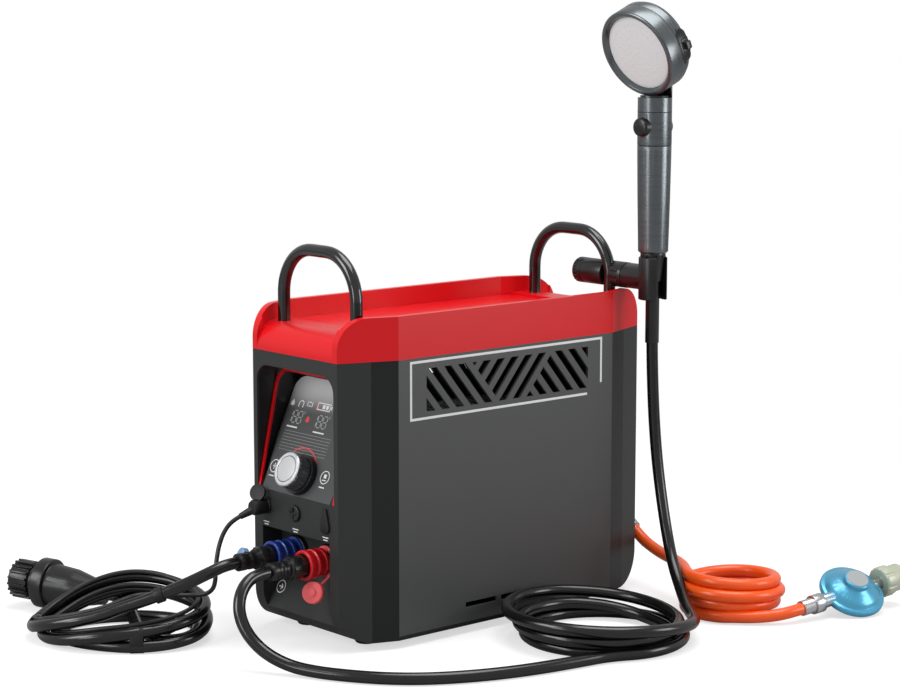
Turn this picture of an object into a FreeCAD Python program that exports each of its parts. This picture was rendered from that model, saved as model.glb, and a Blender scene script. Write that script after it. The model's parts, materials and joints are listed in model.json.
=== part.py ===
import FreeCAD, Part
import math
import os

V = FreeCAD.Vector

# Frame: X across, Y along the case (control end at -Y), Z up.
# The origin is on the ground under the middle of the case. All sizes are in millimetres.

# --- Case ---
case_width = 172.0
case_length = 390.0
taper_width = 21.0
taper_length = 56.0
case_floor = 8.0
cover_joint = 275.0
wall = 3.0
frame_wall = 6.0
seam_setback = 31.0
bottom_round = 34.0
seat_gap = 0.3
run_gap = 0.05
loose_gap = 0.3

# --- Screws and feet ---
screw_x = 54.0
screw_levels = (40.0, 250.0)
screw_radius = 2.0
post_radius = 5.0
screw_head = 4.0
screw_head_height = 2.4
foot_x = 45.0
foot_y = 146.0
foot_radius = 11.0
foot_peg = 3.0

# --- Top cover and handles ---
cover_height = 41.0
cover_round = 30.0
rim_wall = 7.0
cover_skin = 3.0
mound_height = 25.0
mound_round = 24.0
tray_drop = 3.0
tray_end = 48.0
tube_radius = 6.0
handle_half_width = 55.5
handle_setback = 31.0
handle_top = 371.5
handle_bend = 34.0
handle_seat = 266.0

# --- Side panels and grille ---
panel_skin = 3.0
panel_bottom = 12.0
grille_bottom = 223.0
grille_top = 264.0
grille_half_length = 105.0
slot_width = 7.2
slot_pitch = 18.0
slot_lean = 40.0
intake_length = 40.0
intake_height = 5.0
intake_level = 26.0
intake_near = -56.0
intake_spacing = 46.0

# --- Control recess ---
recess_margin = 6.0
recess_bottom = 139.5
recess_top = 261.0
recess_round = 16.0
panel_tilt = 25.6
trim_tilt = 12.2
trim_width = 4.0
trim_depth = 3.0
liner_wall = 2.0
fascia = 3.3
window_margin = 9.0
window_low = 62.0
window_high = 112.0
window_depth = 1.0

# --- Temperature knob ---
knob_level = 22.0
knob_radius = 17.0
knob_height = 22.0
skirt_radius = 19.5
skirt_height = 6.5
cap_radius = 13.0
cap_depth = 6.0
cap_travel = 1.2
knob_shaft = 3.0
knob_flutes = 24

# --- Port row ---
port_level = 124.5
socket_margin = 13.0
socket_radius = 6.0
socket_flange = 8.0
fuse_radius = 6.5
fuse_flange = 8.0
flap_margin = 12.5
flap_radius = 6.5
flap_length = 24.0
flap_thickness = 2.0

# --- Water ports ---
pocket_margin = 7.0
pocket_top = 104.5
pocket_depth = 23.0
pocket_low = 60.0
chute_slope = 63.4
port_x = 25.0
water_level = 80.0
port_bore = 6.1
port_barrel = 11.4
port_flange = 16.0
flange_face = 5.0
port_neck = 10.0
port_tail = 10.0
port_end = 32.0
sleeve_radius = 14.6
sleeve_length = 22.0
sleeve_travel = 3.5
hose_radius = 5.8
tail_radius = 8.5
tail_end = 73.0

# --- Inside the case ---
exchanger_side_gap = 34.0
exchanger_front_gap = 131.0
exchanger_rear_gap = 91.0
exchanger_low = 150.0
exchanger_height = 50.0
exchanger_wall = 8.0
fin_gap = 6.0
fin_pitch = 13.0
fin_count = 12
tube_spacing = 40.0
tube_reach = 8.0
pipe_radius = 5.0
pipe_side = 70.0
pipe_front_gap = 125.0
pipe_rise = 80.0
sensor_radius = 13.0
sensor_length = 34.0
sensor_gap = 18.0
chamber_low = 76.0
chamber_wall = 2.0
leg_size = 6.0
burner_level = 60.0
burner_bar = 10.0
burner_pitch = 22.0
burner_count = 7
burner_depth = 14.0
valve_front = 120.0
valve_length = 30.0
valve_left = 16.0
valve_right = 20.0
solenoid_radius = 9.0
solenoid_height = 22.0
supply_radius = 5.0
battery_half = 38.0
battery_front_gap = 45.0
battery_length = 66.0
battery_height = 44.0
board_depth = 12.0
board_half = 46.0
board_low = 10.0
board_high = 118.0
board_thickness = 1.6

# --- Shower holder on the rear handle ---
barrel_radius = 13.0
barrel_offset = 5.0
barrel_level = 329.5
barrel_left = 20.3
barrel_right = 77.0
clamp_screw_radius = 4.0
clamp_knob_length = 13.0
pivot_radius = 5.0
pivot_length = 15.0
cradle_x = 111.5
cradle_radius = 14.3
cradle_bottom = 308.5
cradle_top = 351.0
cradle_slot = 14.4
cone_top_radius = 11.6
cone_low_radius = 8.75
cone_bottom = 327.0

# --- Hand shower ---
grip_bottom = 355.5
grip_seam = 461.9
grip_end_length = 33.0
grip_low_radius = 15.0
grip_radius = 17.0
water_way = 8.0
button_rise = 18.5
button_radius = 9.5
button_front = 22.4
button_rear = 18.0
head_radius = 45.0
head_depth = 32.0
head_seam = 15.0
head_tilt = 24.0
head_back_y = 1.7
head_rise = 69.4
plate_radius = 38.0
plate_recess = 4.0
plate_thickness = 3.0
neck_length = 14.1
lever_half_angle = 9.0
lever_slot_angle = 24.0
sleeve_wall = 0.8
hose_sleeve_length = 62.0
hose_clear = 0.3

# --- Cords ---
ground_gap = 0.2
cable_radius = 2.2
gas_radius = 6.0
shower_coil_x = 182.0
shower_coil_y = 32.0
shower_coil_outer = 93.0
shower_coil_inner = 68.0
shower_coil_height = 34.0
inlet_coil_x = -120.0
inlet_coil_y = -307.0
inlet_coil_length = 88.0
inlet_coil_width = 66.0
inlet_coil_thickness = 24.0
inlet_coil_height = 44.0
inlet_coil_turn = 49.0
gas_coil_x = 198.0
gas_coil_y = 198.0
gas_coil_outer = 52.0
gas_coil_inner = 38.0
gas_coil_height = 46.0
gas_inlet_x = 14.0
gas_inlet_level = 78.0
gas_elbow_depth = 18.0
gas_fitting_length = 40.0

# --- Pump and regulator ---
pump_tip = V(-295.0, -325.0, 28.0)
pump_end = V(-200.0, -280.0, 21.5)
pump_radius = 25.0
regulator_centre = V(276.5, 288.0, 20.6)
regulator_radius = 33.0
regulator_lean = 31.0
regulator_way = V(0.12, 0.987, 0.11).normalize()
bottle_bore = 10.0

half_w = case_width / 2
half_l = case_length / 2
front_y = -half_l
seam_y = half_l - seam_setback
leg_y = half_l - handle_setback
rim_top = cover_joint + cover_height
barrel_y = leg_y + barrel_offset
pocket_back = front_y + pocket_depth
recess_half = half_w - taper_width - recess_margin
window_half = recess_half - window_margin
socket_x = socket_margin - recess_half
flap_x = recess_half - flap_margin
pocket_half = recess_half - pocket_margin
grip_top = grip_seam + grip_end_length
button_level = grip_seam + button_rise
neck_top = grip_top + neck_length
head_level = grip_top + head_rise
exchanger_half = half_w - exchanger_side_gap
exchanger_front = exchanger_front_gap - half_l
exchanger_rear = half_l - exchanger_rear_gap

PARTS = {}


def keep(name, *shapes):
    """Store the solids of one piece under its name."""
    solids = []
    for shape in shapes:
        solids.extend(shape.Solids)
    PARTS[name] = solids


# ---------------------------------------------------------------- helpers
def box(x0, x1, y0, y1, z0, z1):
    return Part.makeBox(x1 - x0, y1 - y0, z1 - z0, V(x0, y0, z0))


def rod(radius, start, direction, length):
    return Part.makeCylinder(radius, length, start, direction)


def ring(outer, inner, start, direction, length):
    return rod(outer, start, direction, length).cut(rod(inner, start, direction, length))


def polygon(points):
    return Part.Face(Part.makePolygon(points + [points[0]]))


def turned(profile):
    """Turn a closed (radius, height) outline about Z."""
    face = polygon([V(r, 0, h) for r, h in profile])
    return face.revolve(V(0, 0, 0), V(0, 0, 1), 360)


def aim(shape, base, direction):
    """Stand a shape built on +Z at base, pointing along direction."""
    placed = shape.copy()
    stand = FreeCAD.Placement(base, FreeCAD.Rotation(V(0, 0, 1), direction))
    placed.Placement = stand.multiply(placed.Placement)
    return placed


def fuse(shapes):
    whole = shapes[0].fuse(shapes[1:])
    return whole.removeSplitter()


def edges_where(shape, test):
    return [edge for edge in shape.Edges if test(edge)]


def octagon(inset):
    """Corners of the case outline, moved in by inset."""
    hyp = math.hypot(taper_length, taper_width)
    nx = taper_length / hyp
    ny = taper_width / hyp
    reach = nx * half_w + ny * (half_l - taper_length) - inset
    x_side = half_w - inset
    y_end = half_l - inset
    y_side = (reach - nx * x_side) / ny
    x_end = (reach - ny * y_end) / nx
    quarter = [(x_end, y_end), (x_side, y_side)]
    points = list(quarter)
    points += [(x, -y) for x, y in reversed(quarter)]
    points += [(-x, -y) for x, y in quarter]
    points += [(-x, y) for x, y in reversed(quarter)]
    return points


def case_prism(inset, z0, z1):
    face = polygon([V(x, y, z0) for x, y in octagon(inset)])
    return face.extrude(V(0, 0, z1 - z0))


def case_block(inset, top):
    """The case volume with rounded bottom ends."""
    low = case_floor + inset
    block = box(-half_w, half_w, inset - half_l, half_l - inset, low, top)
    ends = edges_where(block, lambda e: abs(e.BoundBox.ZMax - low) < 0.01 and e.BoundBox.XLength > 1)
    rounded = block.makeFillet(bottom_round - inset, ends)
    return rounded.common(case_prism(inset, low, top))


def end_band(sign):
    """The end of the case beyond the shell seam, at -Y for sign -1."""
    y0 = seam_y if sign > 0 else -half_l - 20
    y1 = half_l + 20 if sign > 0 else -seam_y
    return box(-half_w - 20, half_w + 20, y0, y1, 0, cover_joint)


# ---------------------------------------------------------------- tilted control recess
def on_tilt(shape, tilt):
    """Move a shape from the XZ plane onto a plane leaning back from the recess's lower edge."""
    placed = shape.copy()
    lean = FreeCAD.Placement(V(0, front_y, recess_bottom), FreeCAD.Rotation(V(1, 0, 0), -tilt))
    placed.Placement = lean.multiply(placed.Placement)
    return placed


def tilt_vector(tilt, x, up, out):
    lean = math.radians(tilt)
    y = front_y + up * math.sin(lean) - out * math.cos(lean)
    z = recess_bottom + up * math.cos(lean) + out * math.sin(lean)
    return V(x, y, z)


panel_out = V(0, -math.cos(math.radians(panel_tilt)), math.sin(math.radians(panel_tilt)))


def recess_prism(grow, y0, y1):
    """The recess opening, grown at its sides and top, from y0 to y1."""
    high = recess_top + grow
    block = box(-recess_half - grow, recess_half + grow, y0, y1, recess_bottom, high)
    tops = edges_where(
        block, lambda e: abs(e.BoundBox.ZMin - high) < 0.01 and e.BoundBox.YLength > 1
    )
    return block.makeFillet(recess_round + grow, tops)


def slab(tilt, out_from, out_to):
    """A large slab lying between two distances in front of a tilted plane."""
    return on_tilt(box(-300, 300, -out_to, -out_from, -100, 400), tilt)


def recess_parts():
    far = front_y + 90
    front = recess_prism(0, front_y - 5, far)
    grown = recess_prism(liner_wall, front_y + wall, far)
    ahead = slab(panel_tilt, 0, 400)
    keep("recess_liner", grown.cut(front).common(ahead))

    body = front.fuse(recess_prism(liner_wall, front_y + wall + 0.01, far))
    plate = body.common(slab(panel_tilt, -fascia, 0))
    pocket = on_tilt(box(-window_half, window_half, -1, window_depth, window_low, window_high), panel_tilt)
    glass = on_tilt(box(-window_half, window_half, 0, window_depth, window_low, window_high), panel_tilt)
    hub = tilt_vector(panel_tilt, 0, knob_level, 0)
    collar = rod(skirt_radius, hub, panel_out, skirt_height)
    plate = plate.cut(pocket).fuse(collar)
    bore_start = tilt_vector(panel_tilt, 0, knob_level, -30)
    plate = plate.cut(rod(knob_shaft + run_gap, bore_start, panel_out, 60))
    keep("control_panel", plate)
    keep("display_window", glass)

    inner = box(
        trim_width - recess_half, recess_half - trim_width, front_y - 5, far, 0, recess_top - trim_width
    )
    tops = edges_where(
        inner, lambda e: abs(e.BoundBox.ZMin - recess_top + trim_width) < 0.01 and e.BoundBox.YLength > 1
    )
    inner = inner.makeFillet(recess_round - trim_width, tops)
    frame = front.cut(inner).common(slab(trim_tilt, -trim_depth, 0))
    keep("panel_trim", frame.common(ahead))


def knob_parts():
    hub = tilt_vector(panel_tilt, 0, knob_level, 0)
    low = skirt_height + loose_gap
    pocket = cap_radius + run_gap
    shaft_tail = -11.5
    floor = knob_height - cap_depth - cap_travel - 0.4
    outline = [(0, shaft_tail), (knob_shaft, shaft_tail), (knob_shaft, low), (knob_radius, low)]
    outline += [(knob_radius, knob_height - 1), (knob_radius - 1, knob_height), (pocket, knob_height)]
    outline += [(pocket, floor), (0, floor)]
    knob = turned(outline)
    flute = Part.makeCylinder(0.9, knob_height - low - 6, V(knob_radius + 0.35, 0, low + 1.5))
    flutes = [flute.rotated(V(0, 0, 0), V(0, 0, 1), 360 / knob_flutes * i) for i in range(knob_flutes)]
    keep("control_knob", aim(knob.cut(flutes), hub, panel_out))
    cap = turned([
        (0, knob_height - cap_depth), (cap_radius, knob_height - cap_depth),
        (cap_radius, knob_height - 0.6), (cap_radius - 0.6, knob_height), (0, knob_height + 0.4),
    ])
    keep("knob_cap", aim(cap, hub, panel_out))


# ---------------------------------------------------------------- shells, frames, panels
def chute_face(grow):
    """Side view of the water pocket, grown outwards by grow."""
    slope = math.radians(chute_slope)
    run = 80.0
    corner = V(0, pocket_back, pocket_low)
    foot = V(0, pocket_back - run * math.cos(slope), pocket_low - run * math.sin(slope))
    ahead = front_y - 40
    points = [V(0, pocket_back, pocket_top), corner, foot, V(0, ahead, foot.z), V(0, ahead, pocket_top)]
    face = polygon(points)
    if grow:
        face = face.makeOffset2D(grow)
    return face


def pocket_prism(grow):
    face = chute_face(grow)
    half = pocket_half + grow
    prism = face.extrude(V(2 * half, 0, 0))
    prism.translate(V(-half, 0, 0))
    return prism


def front_shell():
    block = case_block(0, cover_joint)
    hollow = case_block(wall, cover_joint + 1).cut(pocket_prism(wall))
    shell = block.cut(hollow).common(end_band(-1))
    shell = shell.cut(pocket_prism(0))
    shell = shell.cut(recess_prism(0, front_y - 5, front_y + wall + 1))
    back = V(0, 1, 0)
    for x in (-port_x, port_x):
        shell = shell.cut(rod(port_tail, V(x, pocket_back - 1, water_level), back, 2 * wall))
    shell = shell.cut(rod(socket_radius, V(socket_x, front_y - 1, port_level), back, 2 * wall))
    shell = shell.cut(rod(fuse_radius, V(0, front_y - 1, port_level), back, 2 * wall))
    jack = flap_radius - 2
    port = box(
        flap_x - jack, flap_x + jack, front_y - 1, front_y + wall + 1, port_level - jack, port_level + jack
    )
    keep("front_shell", shell.cut(port))


def rear_shell():
    block = case_block(0, cover_joint)
    shell = block.cut(case_block(wall, cover_joint + 1)).common(end_band(1))
    for x in (-screw_x, screw_x):
        for level in screw_levels:
            post = rod(post_radius, V(x, seam_y, level), V(0, 1, 0), seam_setback - 1)
            shell = shell.fuse(post)
            shell = shell.cut(rod(screw_radius, V(x, seam_y - 1, level), V(0, 1, 0), seam_setback + 5))
            sink = V(x, half_l - screw_head_height, level)
            shell = shell.cut(rod(screw_head + 0.2, sink, V(0, 1, 0), 10))
    inlet = V(gas_inlet_x, half_l - 2 * wall, gas_inlet_level)
    keep("rear_shell", shell.cut(rod(port_tail, inlet, V(0, 1, 0), 4 * wall)))


def side_frame(sign):
    middle = box(0, half_w + 10, -seam_y, seam_y, case_floor, cover_joint)
    block = case_block(0, cover_joint).cut(case_prism(frame_wall, 0, cover_joint + 1)).common(middle)
    side_y = half_l - taper_length
    seat = box(half_w - panel_skin, half_w + 10, -side_y, side_y, panel_bottom, cover_joint + 1)
    window_y = side_y - 14
    window = box(0, half_w + 10, -window_y, window_y, case_floor + 12, cover_joint - 10)
    block = block.cut(seat).cut(window)
    lug_inner = screw_x - 6
    low, high = screw_levels
    for y0, level in ((-seam_y, low), (seam_y - 14, low), (seam_y - 14, high)):
        lug = box(lug_inner, half_w - frame_wall - 2, y0, y0 + 14, level - 7, level + 7)
        block = block.fuse(lug.common(case_prism(frame_wall - 1, 0, cover_joint)))
    for level in screw_levels:
        block = block.cut(rod(screw_radius, V(screw_x, seam_y - 20, level), V(0, 1, 0), 30))
    for side in (-1, 1):
        y0, y1 = sorted((side * leg_y, side * (leg_y - tube_radius)))
        bracket = box(40, half_w, y0, y1, handle_seat - wall, handle_seat)
        block = block.fuse(bracket.common(case_prism(frame_wall - 1, 0, cover_joint)))
    block = block.removeSplitter()
    if sign < 0:
        block = block.mirror(V(0, 0, 0), V(1, 0, 0))
    return block


def grille_slots():
    """Slanted slots in three fields that meet along two slanted bars, cut through the +X panel."""
    lean = math.radians(slot_lean)
    height = grille_top - grille_bottom
    shift = height * math.tan(lean)
    third = 2 * grille_half_length / 3
    depth = panel_skin + 8
    x0 = half_w - panel_skin - 4
    bar = slot_pitch - slot_width / math.cos(lean)
    half_bar = bar / 2
    left_top = -grille_half_length + third - shift / 2
    right_top = grille_half_length - third + shift / 2

    def field(points):
        return polygon([V(x0, y, z) for y, z in points]).extrude(V(depth, 0, 0))

    def slot(y_top, direction):
        run = direction * shift
        half = slot_width / math.cos(lean) / 2
        extra = 0.5
        top = grille_top + height * extra
        low = grille_bottom - height * extra
        y_high = y_top - run * extra
        y_low = y_top + run * (1 + extra)
        return field([(y_high - half, top), (y_high + half, top), (y_low + half, low), (y_low - half, low)])

    left = field([
        (-grille_half_length, grille_top), (left_top - half_bar, grille_top),
        (left_top + shift - half_bar, grille_bottom), (-grille_half_length, grille_bottom),
    ])
    middle = field([
        (left_top + half_bar, grille_top), (right_top - half_bar, grille_top),
        (right_top - shift - half_bar, grille_bottom), (left_top + shift + half_bar, grille_bottom),
    ])
    right = field([
        (right_top + half_bar, grille_top), (grille_half_length, grille_top),
        (grille_half_length, grille_bottom), (right_top - shift + half_bar, grille_bottom),
    ])
    cuts = []
    count = int(4 * grille_half_length / slot_pitch)
    for i in range(count):
        offset = i * slot_pitch
        falling = left_top - half_bar - slot_pitch / 2 + bar / 2 - offset
        cuts.append(slot(falling, 1).common(left))
        rising = right_top - half_bar - slot_pitch / 2 + bar / 2 - offset
        cuts.append(slot(rising, -1).common(middle))
        nested = right_top - 2 * shift + slot_pitch / 2 + offset
        cuts.append(slot(nested, 1).common(right))
    return [cut for cut in cuts if cut.Volume > 60]


def side_panel(sign, slots):
    side_y = half_l - taper_length
    x0 = half_w - panel_skin
    plate = box(x0, half_w, -side_y, side_y, panel_bottom, cover_joint)
    plate = plate.cut(slots)
    for i in range(2):
        y0 = intake_near + i * intake_spacing
        intake = box(x0 - 1, half_w + 1, y0, y0 + intake_length, intake_level, intake_level + intake_height)
        plate = plate.cut(intake)
    if sign < 0:
        plate = plate.mirror(V(0, 0, 0), V(1, 0, 0))
    return plate


def base_parts():
    middle = box(-half_w, half_w, -seam_y, seam_y, 0, case_floor + wall)
    plate = case_prism(frame_wall, case_floor, case_floor + wall).common(middle)
    for x in (-foot_x, foot_x):
        for y in (-foot_y, foot_y):
            plate = plate.cut(rod(foot_peg, V(x, y, case_floor - 1), V(0, 0, 1), 2 * wall))
    for i in range(9):
        y = -60.0 + 15.0 * i
        plate = plate.cut(box(-30, 30, y, y + 6, case_floor - 1, case_floor + wall + 1))
    keep("base_pan", plate)
    foot = turned([
        (0, 0), (foot_radius - 1.5, 0), (foot_radius, 1.5), (foot_radius - 1, case_floor),
        (foot_peg, case_floor), (foot_peg, case_floor + wall), (foot_peg + 1.5, case_floor + wall + 0.01),
        (foot_peg - 1, case_floor + wall + 4), (0, case_floor + wall + 4),
    ])
    feet = []
    for x in (-foot_x, foot_x):
        for y in (-foot_y, foot_y):
            feet.append(foot.translated(V(x, y, 0)))
    keep("rubber_feet", *feet)
    screw = turned([
        (0, 0), (screw_radius - 0.1, 0), (screw_radius - 0.1, seam_setback + 6),
        (screw_head, seam_setback + 6), (screw_head - 0.6, seam_setback + 8), (0, seam_setback + 8),
    ])
    depth = seam_setback + 6
    screws = []
    for x in (-screw_x, screw_x):
        for level in screw_levels:
            screws.append(aim(screw, V(x, half_l - screw_head_height - depth, level), V(0, 1, 0)))
    keep("case_screws", *screws)


# ---------------------------------------------------------------- top cover and handles
def cover_profile(length, height, radius, low):
    """Side view with round top ends, as a block wider than the case."""
    block = box(-half_w - 10, half_w + 10, -length, length, low, height)
    tops = edges_where(block, lambda e: abs(e.BoundBox.ZMin - height) < 0.01 and e.BoundBox.XLength > 1)
    return block.makeFillet(radius, tops)


def top_cover():
    shape = cover_profile(half_l, rim_top, cover_round, cover_joint)
    outer = case_prism(0, cover_joint, rim_top).common(shape)
    mound_top = cover_joint + mound_height
    mound = cover_profile(half_l, mound_top, mound_round, cover_joint - 20)
    tray = box(-half_w, half_w, tray_end - half_l, half_l - tray_end, mound_top - tray_drop, rim_top)
    land = mound.cut(tray)
    space = case_prism(rim_wall, cover_joint - 5, rim_top + 5)
    open_ends = box(rim_wall + taper_width - half_w, half_w - rim_wall - taper_width, -half_l - 5, half_l + 5,
                    cover_joint - 5, rim_top + 5)
    above = space.fuse(open_ends).cut(land)
    inside_top = mound_top - cover_skin - tray_drop
    inside = cover_profile(half_l - cover_skin, inside_top, mound_round, cover_joint - 20)
    under = case_prism(rim_wall, cover_joint - 1, rim_top).common(inside)
    cover = outer.cut(above).cut(under)
    for x in (-handle_half_width, handle_half_width):
        for y in (-leg_y, leg_y):
            hole = rod(tube_radius + run_gap, V(x, y, cover_joint - 5), V(0, 0, 1), cover_height + 10)
            cover = cover.cut(hole)
    keep("top_cover", cover)


def handle(y):
    low = handle_seat
    start = V(-handle_half_width, y, low)
    bend_low = handle_top - handle_bend
    inner_x = handle_half_width - handle_bend
    diag = handle_bend * math.sqrt(0.5)
    left_mid = V(-inner_x - diag, y, bend_low + diag)
    right_mid = V(inner_x + diag, y, bend_low + diag)
    edges = [
        Part.LineSegment(start, V(-handle_half_width, y, bend_low)).toShape(),
        Part.Arc(V(-handle_half_width, y, bend_low), left_mid, V(-inner_x, y, handle_top)).toShape(),
        Part.LineSegment(V(-inner_x, y, handle_top), V(inner_x, y, handle_top)).toShape(),
        Part.Arc(V(inner_x, y, handle_top), right_mid, V(handle_half_width, y, bend_low)).toShape(),
        Part.LineSegment(V(handle_half_width, y, bend_low), V(handle_half_width, y, low)).toShape(),
    ]
    return sweep(Part.Wire(edges), tube_radius, start, V(0, 0, 1))


def sweep(path, radius, start, direction):
    section = Part.Wire(Part.makeCircle(radius, start, direction))
    return path.makePipeShell([section], True, True)


# ---------------------------------------------------------------- small ports
def port_parts():
    out = V(0, -1, 0)
    socket = turned([
        (3.2, -14), (socket_radius, -14), (socket_radius, 0), (socket_flange, 0),
        (socket_flange, 1.5), (socket_flange - 0.7, 2), (3.2, 2),
    ])
    keep("dc_socket", aim(socket, V(socket_x, front_y, port_level), out))
    fuse_cap = turned([
        (0, -10), (fuse_radius - run_gap, -10), (fuse_radius - run_gap, 0.1), (fuse_flange, 0.1),
        (fuse_flange, 1.8), (fuse_flange - 0.8, 2.6), (0, 2.6),
    ])
    slot_a = box(-1, 1, -5.5, 5.5, 1.4, 4)
    slot_b = box(-5.5, 5.5, -1, 1, 1.4, 4)
    keep("fuse_cap", aim(fuse_cap.cut([slot_a, slot_b]), V(0, front_y, port_level), out))
    # Drop-shaped flap: a disc, two tangents and a narrow hinge end.
    low = port_level - flap_length / 2 + flap_radius
    high = port_level + flap_length / 2
    y0 = front_y - flap_thickness - run_gap
    disc = rod(flap_radius, V(flap_x, y0, low), V(0, 1, 0), flap_thickness)
    neck = 2.2
    lean = 0.35
    wedge = polygon([
        V(flap_x - flap_radius * math.cos(lean), y0, low + flap_radius * math.sin(lean)),
        V(flap_x + flap_radius * math.cos(lean), y0, low + flap_radius * math.sin(lean)),
        V(flap_x + neck, y0, high), V(flap_x - neck, y0, high),
    ]).extrude(V(0, flap_thickness, 0))
    plug = rod(flap_radius - 3, V(flap_x, y0 + 0.5, port_level), V(0, 1, 0), flap_thickness)
    keep("charge_flap", fuse([disc, wedge, plug]))


def fitting(x):
    body = turned([
        (port_bore, -18), (port_tail, -18), (port_tail, 0), (port_flange, 0),
        (port_flange, flange_face - 1), (port_flange - 1, flange_face), (port_neck, flange_face),
        (port_neck, flange_face + 6), (port_barrel, flange_face + 6), (port_barrel, port_end),
        (port_bore, port_end),
    ])
    return aim(body, V(x, pocket_back, water_level), V(0, -1, 0))


def release_sleeve(x):
    bore = port_barrel + run_gap
    rear = flange_face + 2 * sleeve_travel
    front = rear + sleeve_length
    grip = sleeve_radius - 1.6
    body = turned([
        (bore, rear), (grip + 0.8, rear), (grip + 0.8, rear + 3), (grip, rear + 3.6), (grip, rear + 9),
        (sleeve_radius - 0.4, rear + 9.6), (sleeve_radius - 0.4, rear + 12), (grip, rear + 12.6),
        (grip, front - 5), (sleeve_radius, front - 4.4), (sleeve_radius, front - 0.6),
        (sleeve_radius - 0.6, front), (bore, front),
    ])
    return aim(body, V(x, pocket_back, water_level), V(0, -1, 0))


def hose_plug(x):
    nose = port_bore - 0.1
    groove = tail_radius - 0.8
    body = turned([
        (0, 14), (nose, 14), (nose, port_end), (10.5, port_end), (10.5, 40), (9.0, 40), (9.0, 50), (9.8, 50),
        (9.8, 53), (groove, 53), (groove, 58), (tail_radius, 58), (tail_radius, 61), (groove, 61),
        (groove, 65), (tail_radius, 65), (tail_radius, tail_end), (0, tail_end),
    ])
    corners = [math.radians(60 * i) for i in range(6)]
    hexagon = polygon([V(12 * math.cos(a), 12 * math.sin(a), 40) for a in corners])
    nut = hexagon.extrude(V(0, 0, 10)).common(Part.makeCylinder(11.6, 20, V(0, 0, 39)))
    return aim(body.fuse(nut), V(x, pocket_back, water_level), V(0, -1, 0))


def dust_cap(x, centre, facing, strap_side):
    """A rubber cap hanging on a strap from a ring round the fitting's neck."""
    ring_y = pocket_back - 5
    level = water_level - 3
    loop = ring(15.0, port_neck, V(x, ring_y - 2, water_level), V(0, 1, 0), 2)
    x0, x1 = sorted((x + strap_side * 13, x + strap_side * 20))
    tab = box(x0, x1, ring_y - 2, ring_y, level - 2.5, level + 2.5)
    facing = V(*facing).normalize()
    cap = aim(turned([(0, 0), (10.5, 0), (10.5, 5), (9.5, 6), (4, 6), (4, 7.5), (0, 7.5)]), centre, facing)
    root = V(x + strap_side * 18.2, ring_y - 1, level)
    span = centre + facing * 2.5 - root
    strap = rod(1.5, root, span, span.Length)
    return fuse([loop, tab, cap, strap])


def water_parts():
    keep("port_fittings", fitting(-port_x), fitting(port_x))
    keep("inlet_sleeve", release_sleeve(-port_x))
    keep("outlet_sleeve", release_sleeve(port_x))
    keep("hose_plugs", hose_plug(-port_x), hose_plug(port_x))
    red = dust_cap(port_x, V(35.0, front_y - 5, 55.0), (0.45, -0.86, 0.25), 1)
    blue = dust_cap(-port_x, V(-52.0, front_y - 22, 74.0), (-0.3, -0.9, 0.3), -1)
    keep("dust_caps", red, blue)


# ---------------------------------------------------------------- inside the case
def inner_parts():
    floor = case_floor + wall
    exchanger_parts(floor)
    burner_parts(floor)
    gas_supply_parts(floor)
    pipe_parts()
    front = front_y + battery_front_gap
    rear = front + battery_length
    keep("battery_pack", box(-battery_half, battery_half, front, rear, floor, floor + battery_height))

    back = board_depth + board_thickness
    board = box(-board_half, board_half, board_depth, back, board_low, board_high)
    posts = []
    for x in (leg_size - board_half, board_half - leg_size):
        for up in (board_low + leg_size, board_high - leg_size):
            posts.append(rod(knob_shaft, V(x, fascia, up), V(0, 1, 0), board_depth - fascia))
    chip_top = board_high - 3 * leg_size
    chip = box(-board_half / 2, board_half / 4, back, back + leg_size, board_high / 2, chip_top)
    encoder = ring(cap_radius - knob_shaft, knob_shaft + run_gap, V(0, fascia, knob_level), V(0, 1, 0),
                   board_depth - fascia)
    keep("control_board", on_tilt(fuse([board] + posts + [chip, encoder]), panel_tilt))


def exchanger_parts(floor):
    """Finned water heat exchanger standing on a sheet metal combustion chamber."""
    half = exchanger_half
    front = exchanger_front
    rear = exchanger_rear
    top = exchanger_low + exchanger_height
    core = box(-half, half, front, rear, exchanger_low, top)
    for i in range(fin_count):
        y = front + exchanger_wall + fin_pitch * i
        gap = box(exchanger_wall - half, half - exchanger_wall, y, y + fin_gap, exchanger_low - 1, top + 1)
        core = core.cut(gap)
    reach = half + tube_reach
    tubes = []
    for i in range(3):
        start = V(-reach, pipe_end_y() + tube_spacing * i, tube_level())
        tubes.append(rod(pipe_radius + 1, start, V(1, 0, 0), 2 * reach))
    keep("heat_exchanger", fuse([core] + tubes))
    chamber = box(-half, half, front, rear, chamber_low, exchanger_low)
    inner = box(chamber_wall - half, half - chamber_wall, front + chamber_wall, rear - chamber_wall,
                chamber_low - 1, exchanger_low + 1)
    legs = []
    for x in (-half, half - leg_size):
        for y in (front, rear - leg_size):
            legs.append(box(x, x + leg_size, y, y + leg_size, floor, chamber_low))
    keep("combustion_chamber", fuse([chamber.cut(inner)] + legs))


def tube_level():
    return exchanger_low + exchanger_height / 2


def pipe_end_y():
    """The front water tube's place along the exchanger."""
    return exchanger_front + exchanger_height - leg_size


def burner_parts(floor):
    front = exchanger_front + exchanger_wall
    rail = rod(supply_radius, V(0, front, burner_level), V(0, 1, 0), valve_front - front)
    bars = []
    for i in range(burner_count):
        y = front + supply_radius - 1 + burner_pitch * i
        half = exchanger_half - exchanger_wall
        bars.append(box(-half, half, y, y + burner_bar, burner_level - 3, burner_level + burner_depth))
    stand = []
    for y in (front + leg_size, exchanger_rear - burner_pitch):
        stand.append(box(-4, 4, y, y + leg_size, floor, burner_level))
    keep("burner", fuse([rail] + bars + stand))


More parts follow.
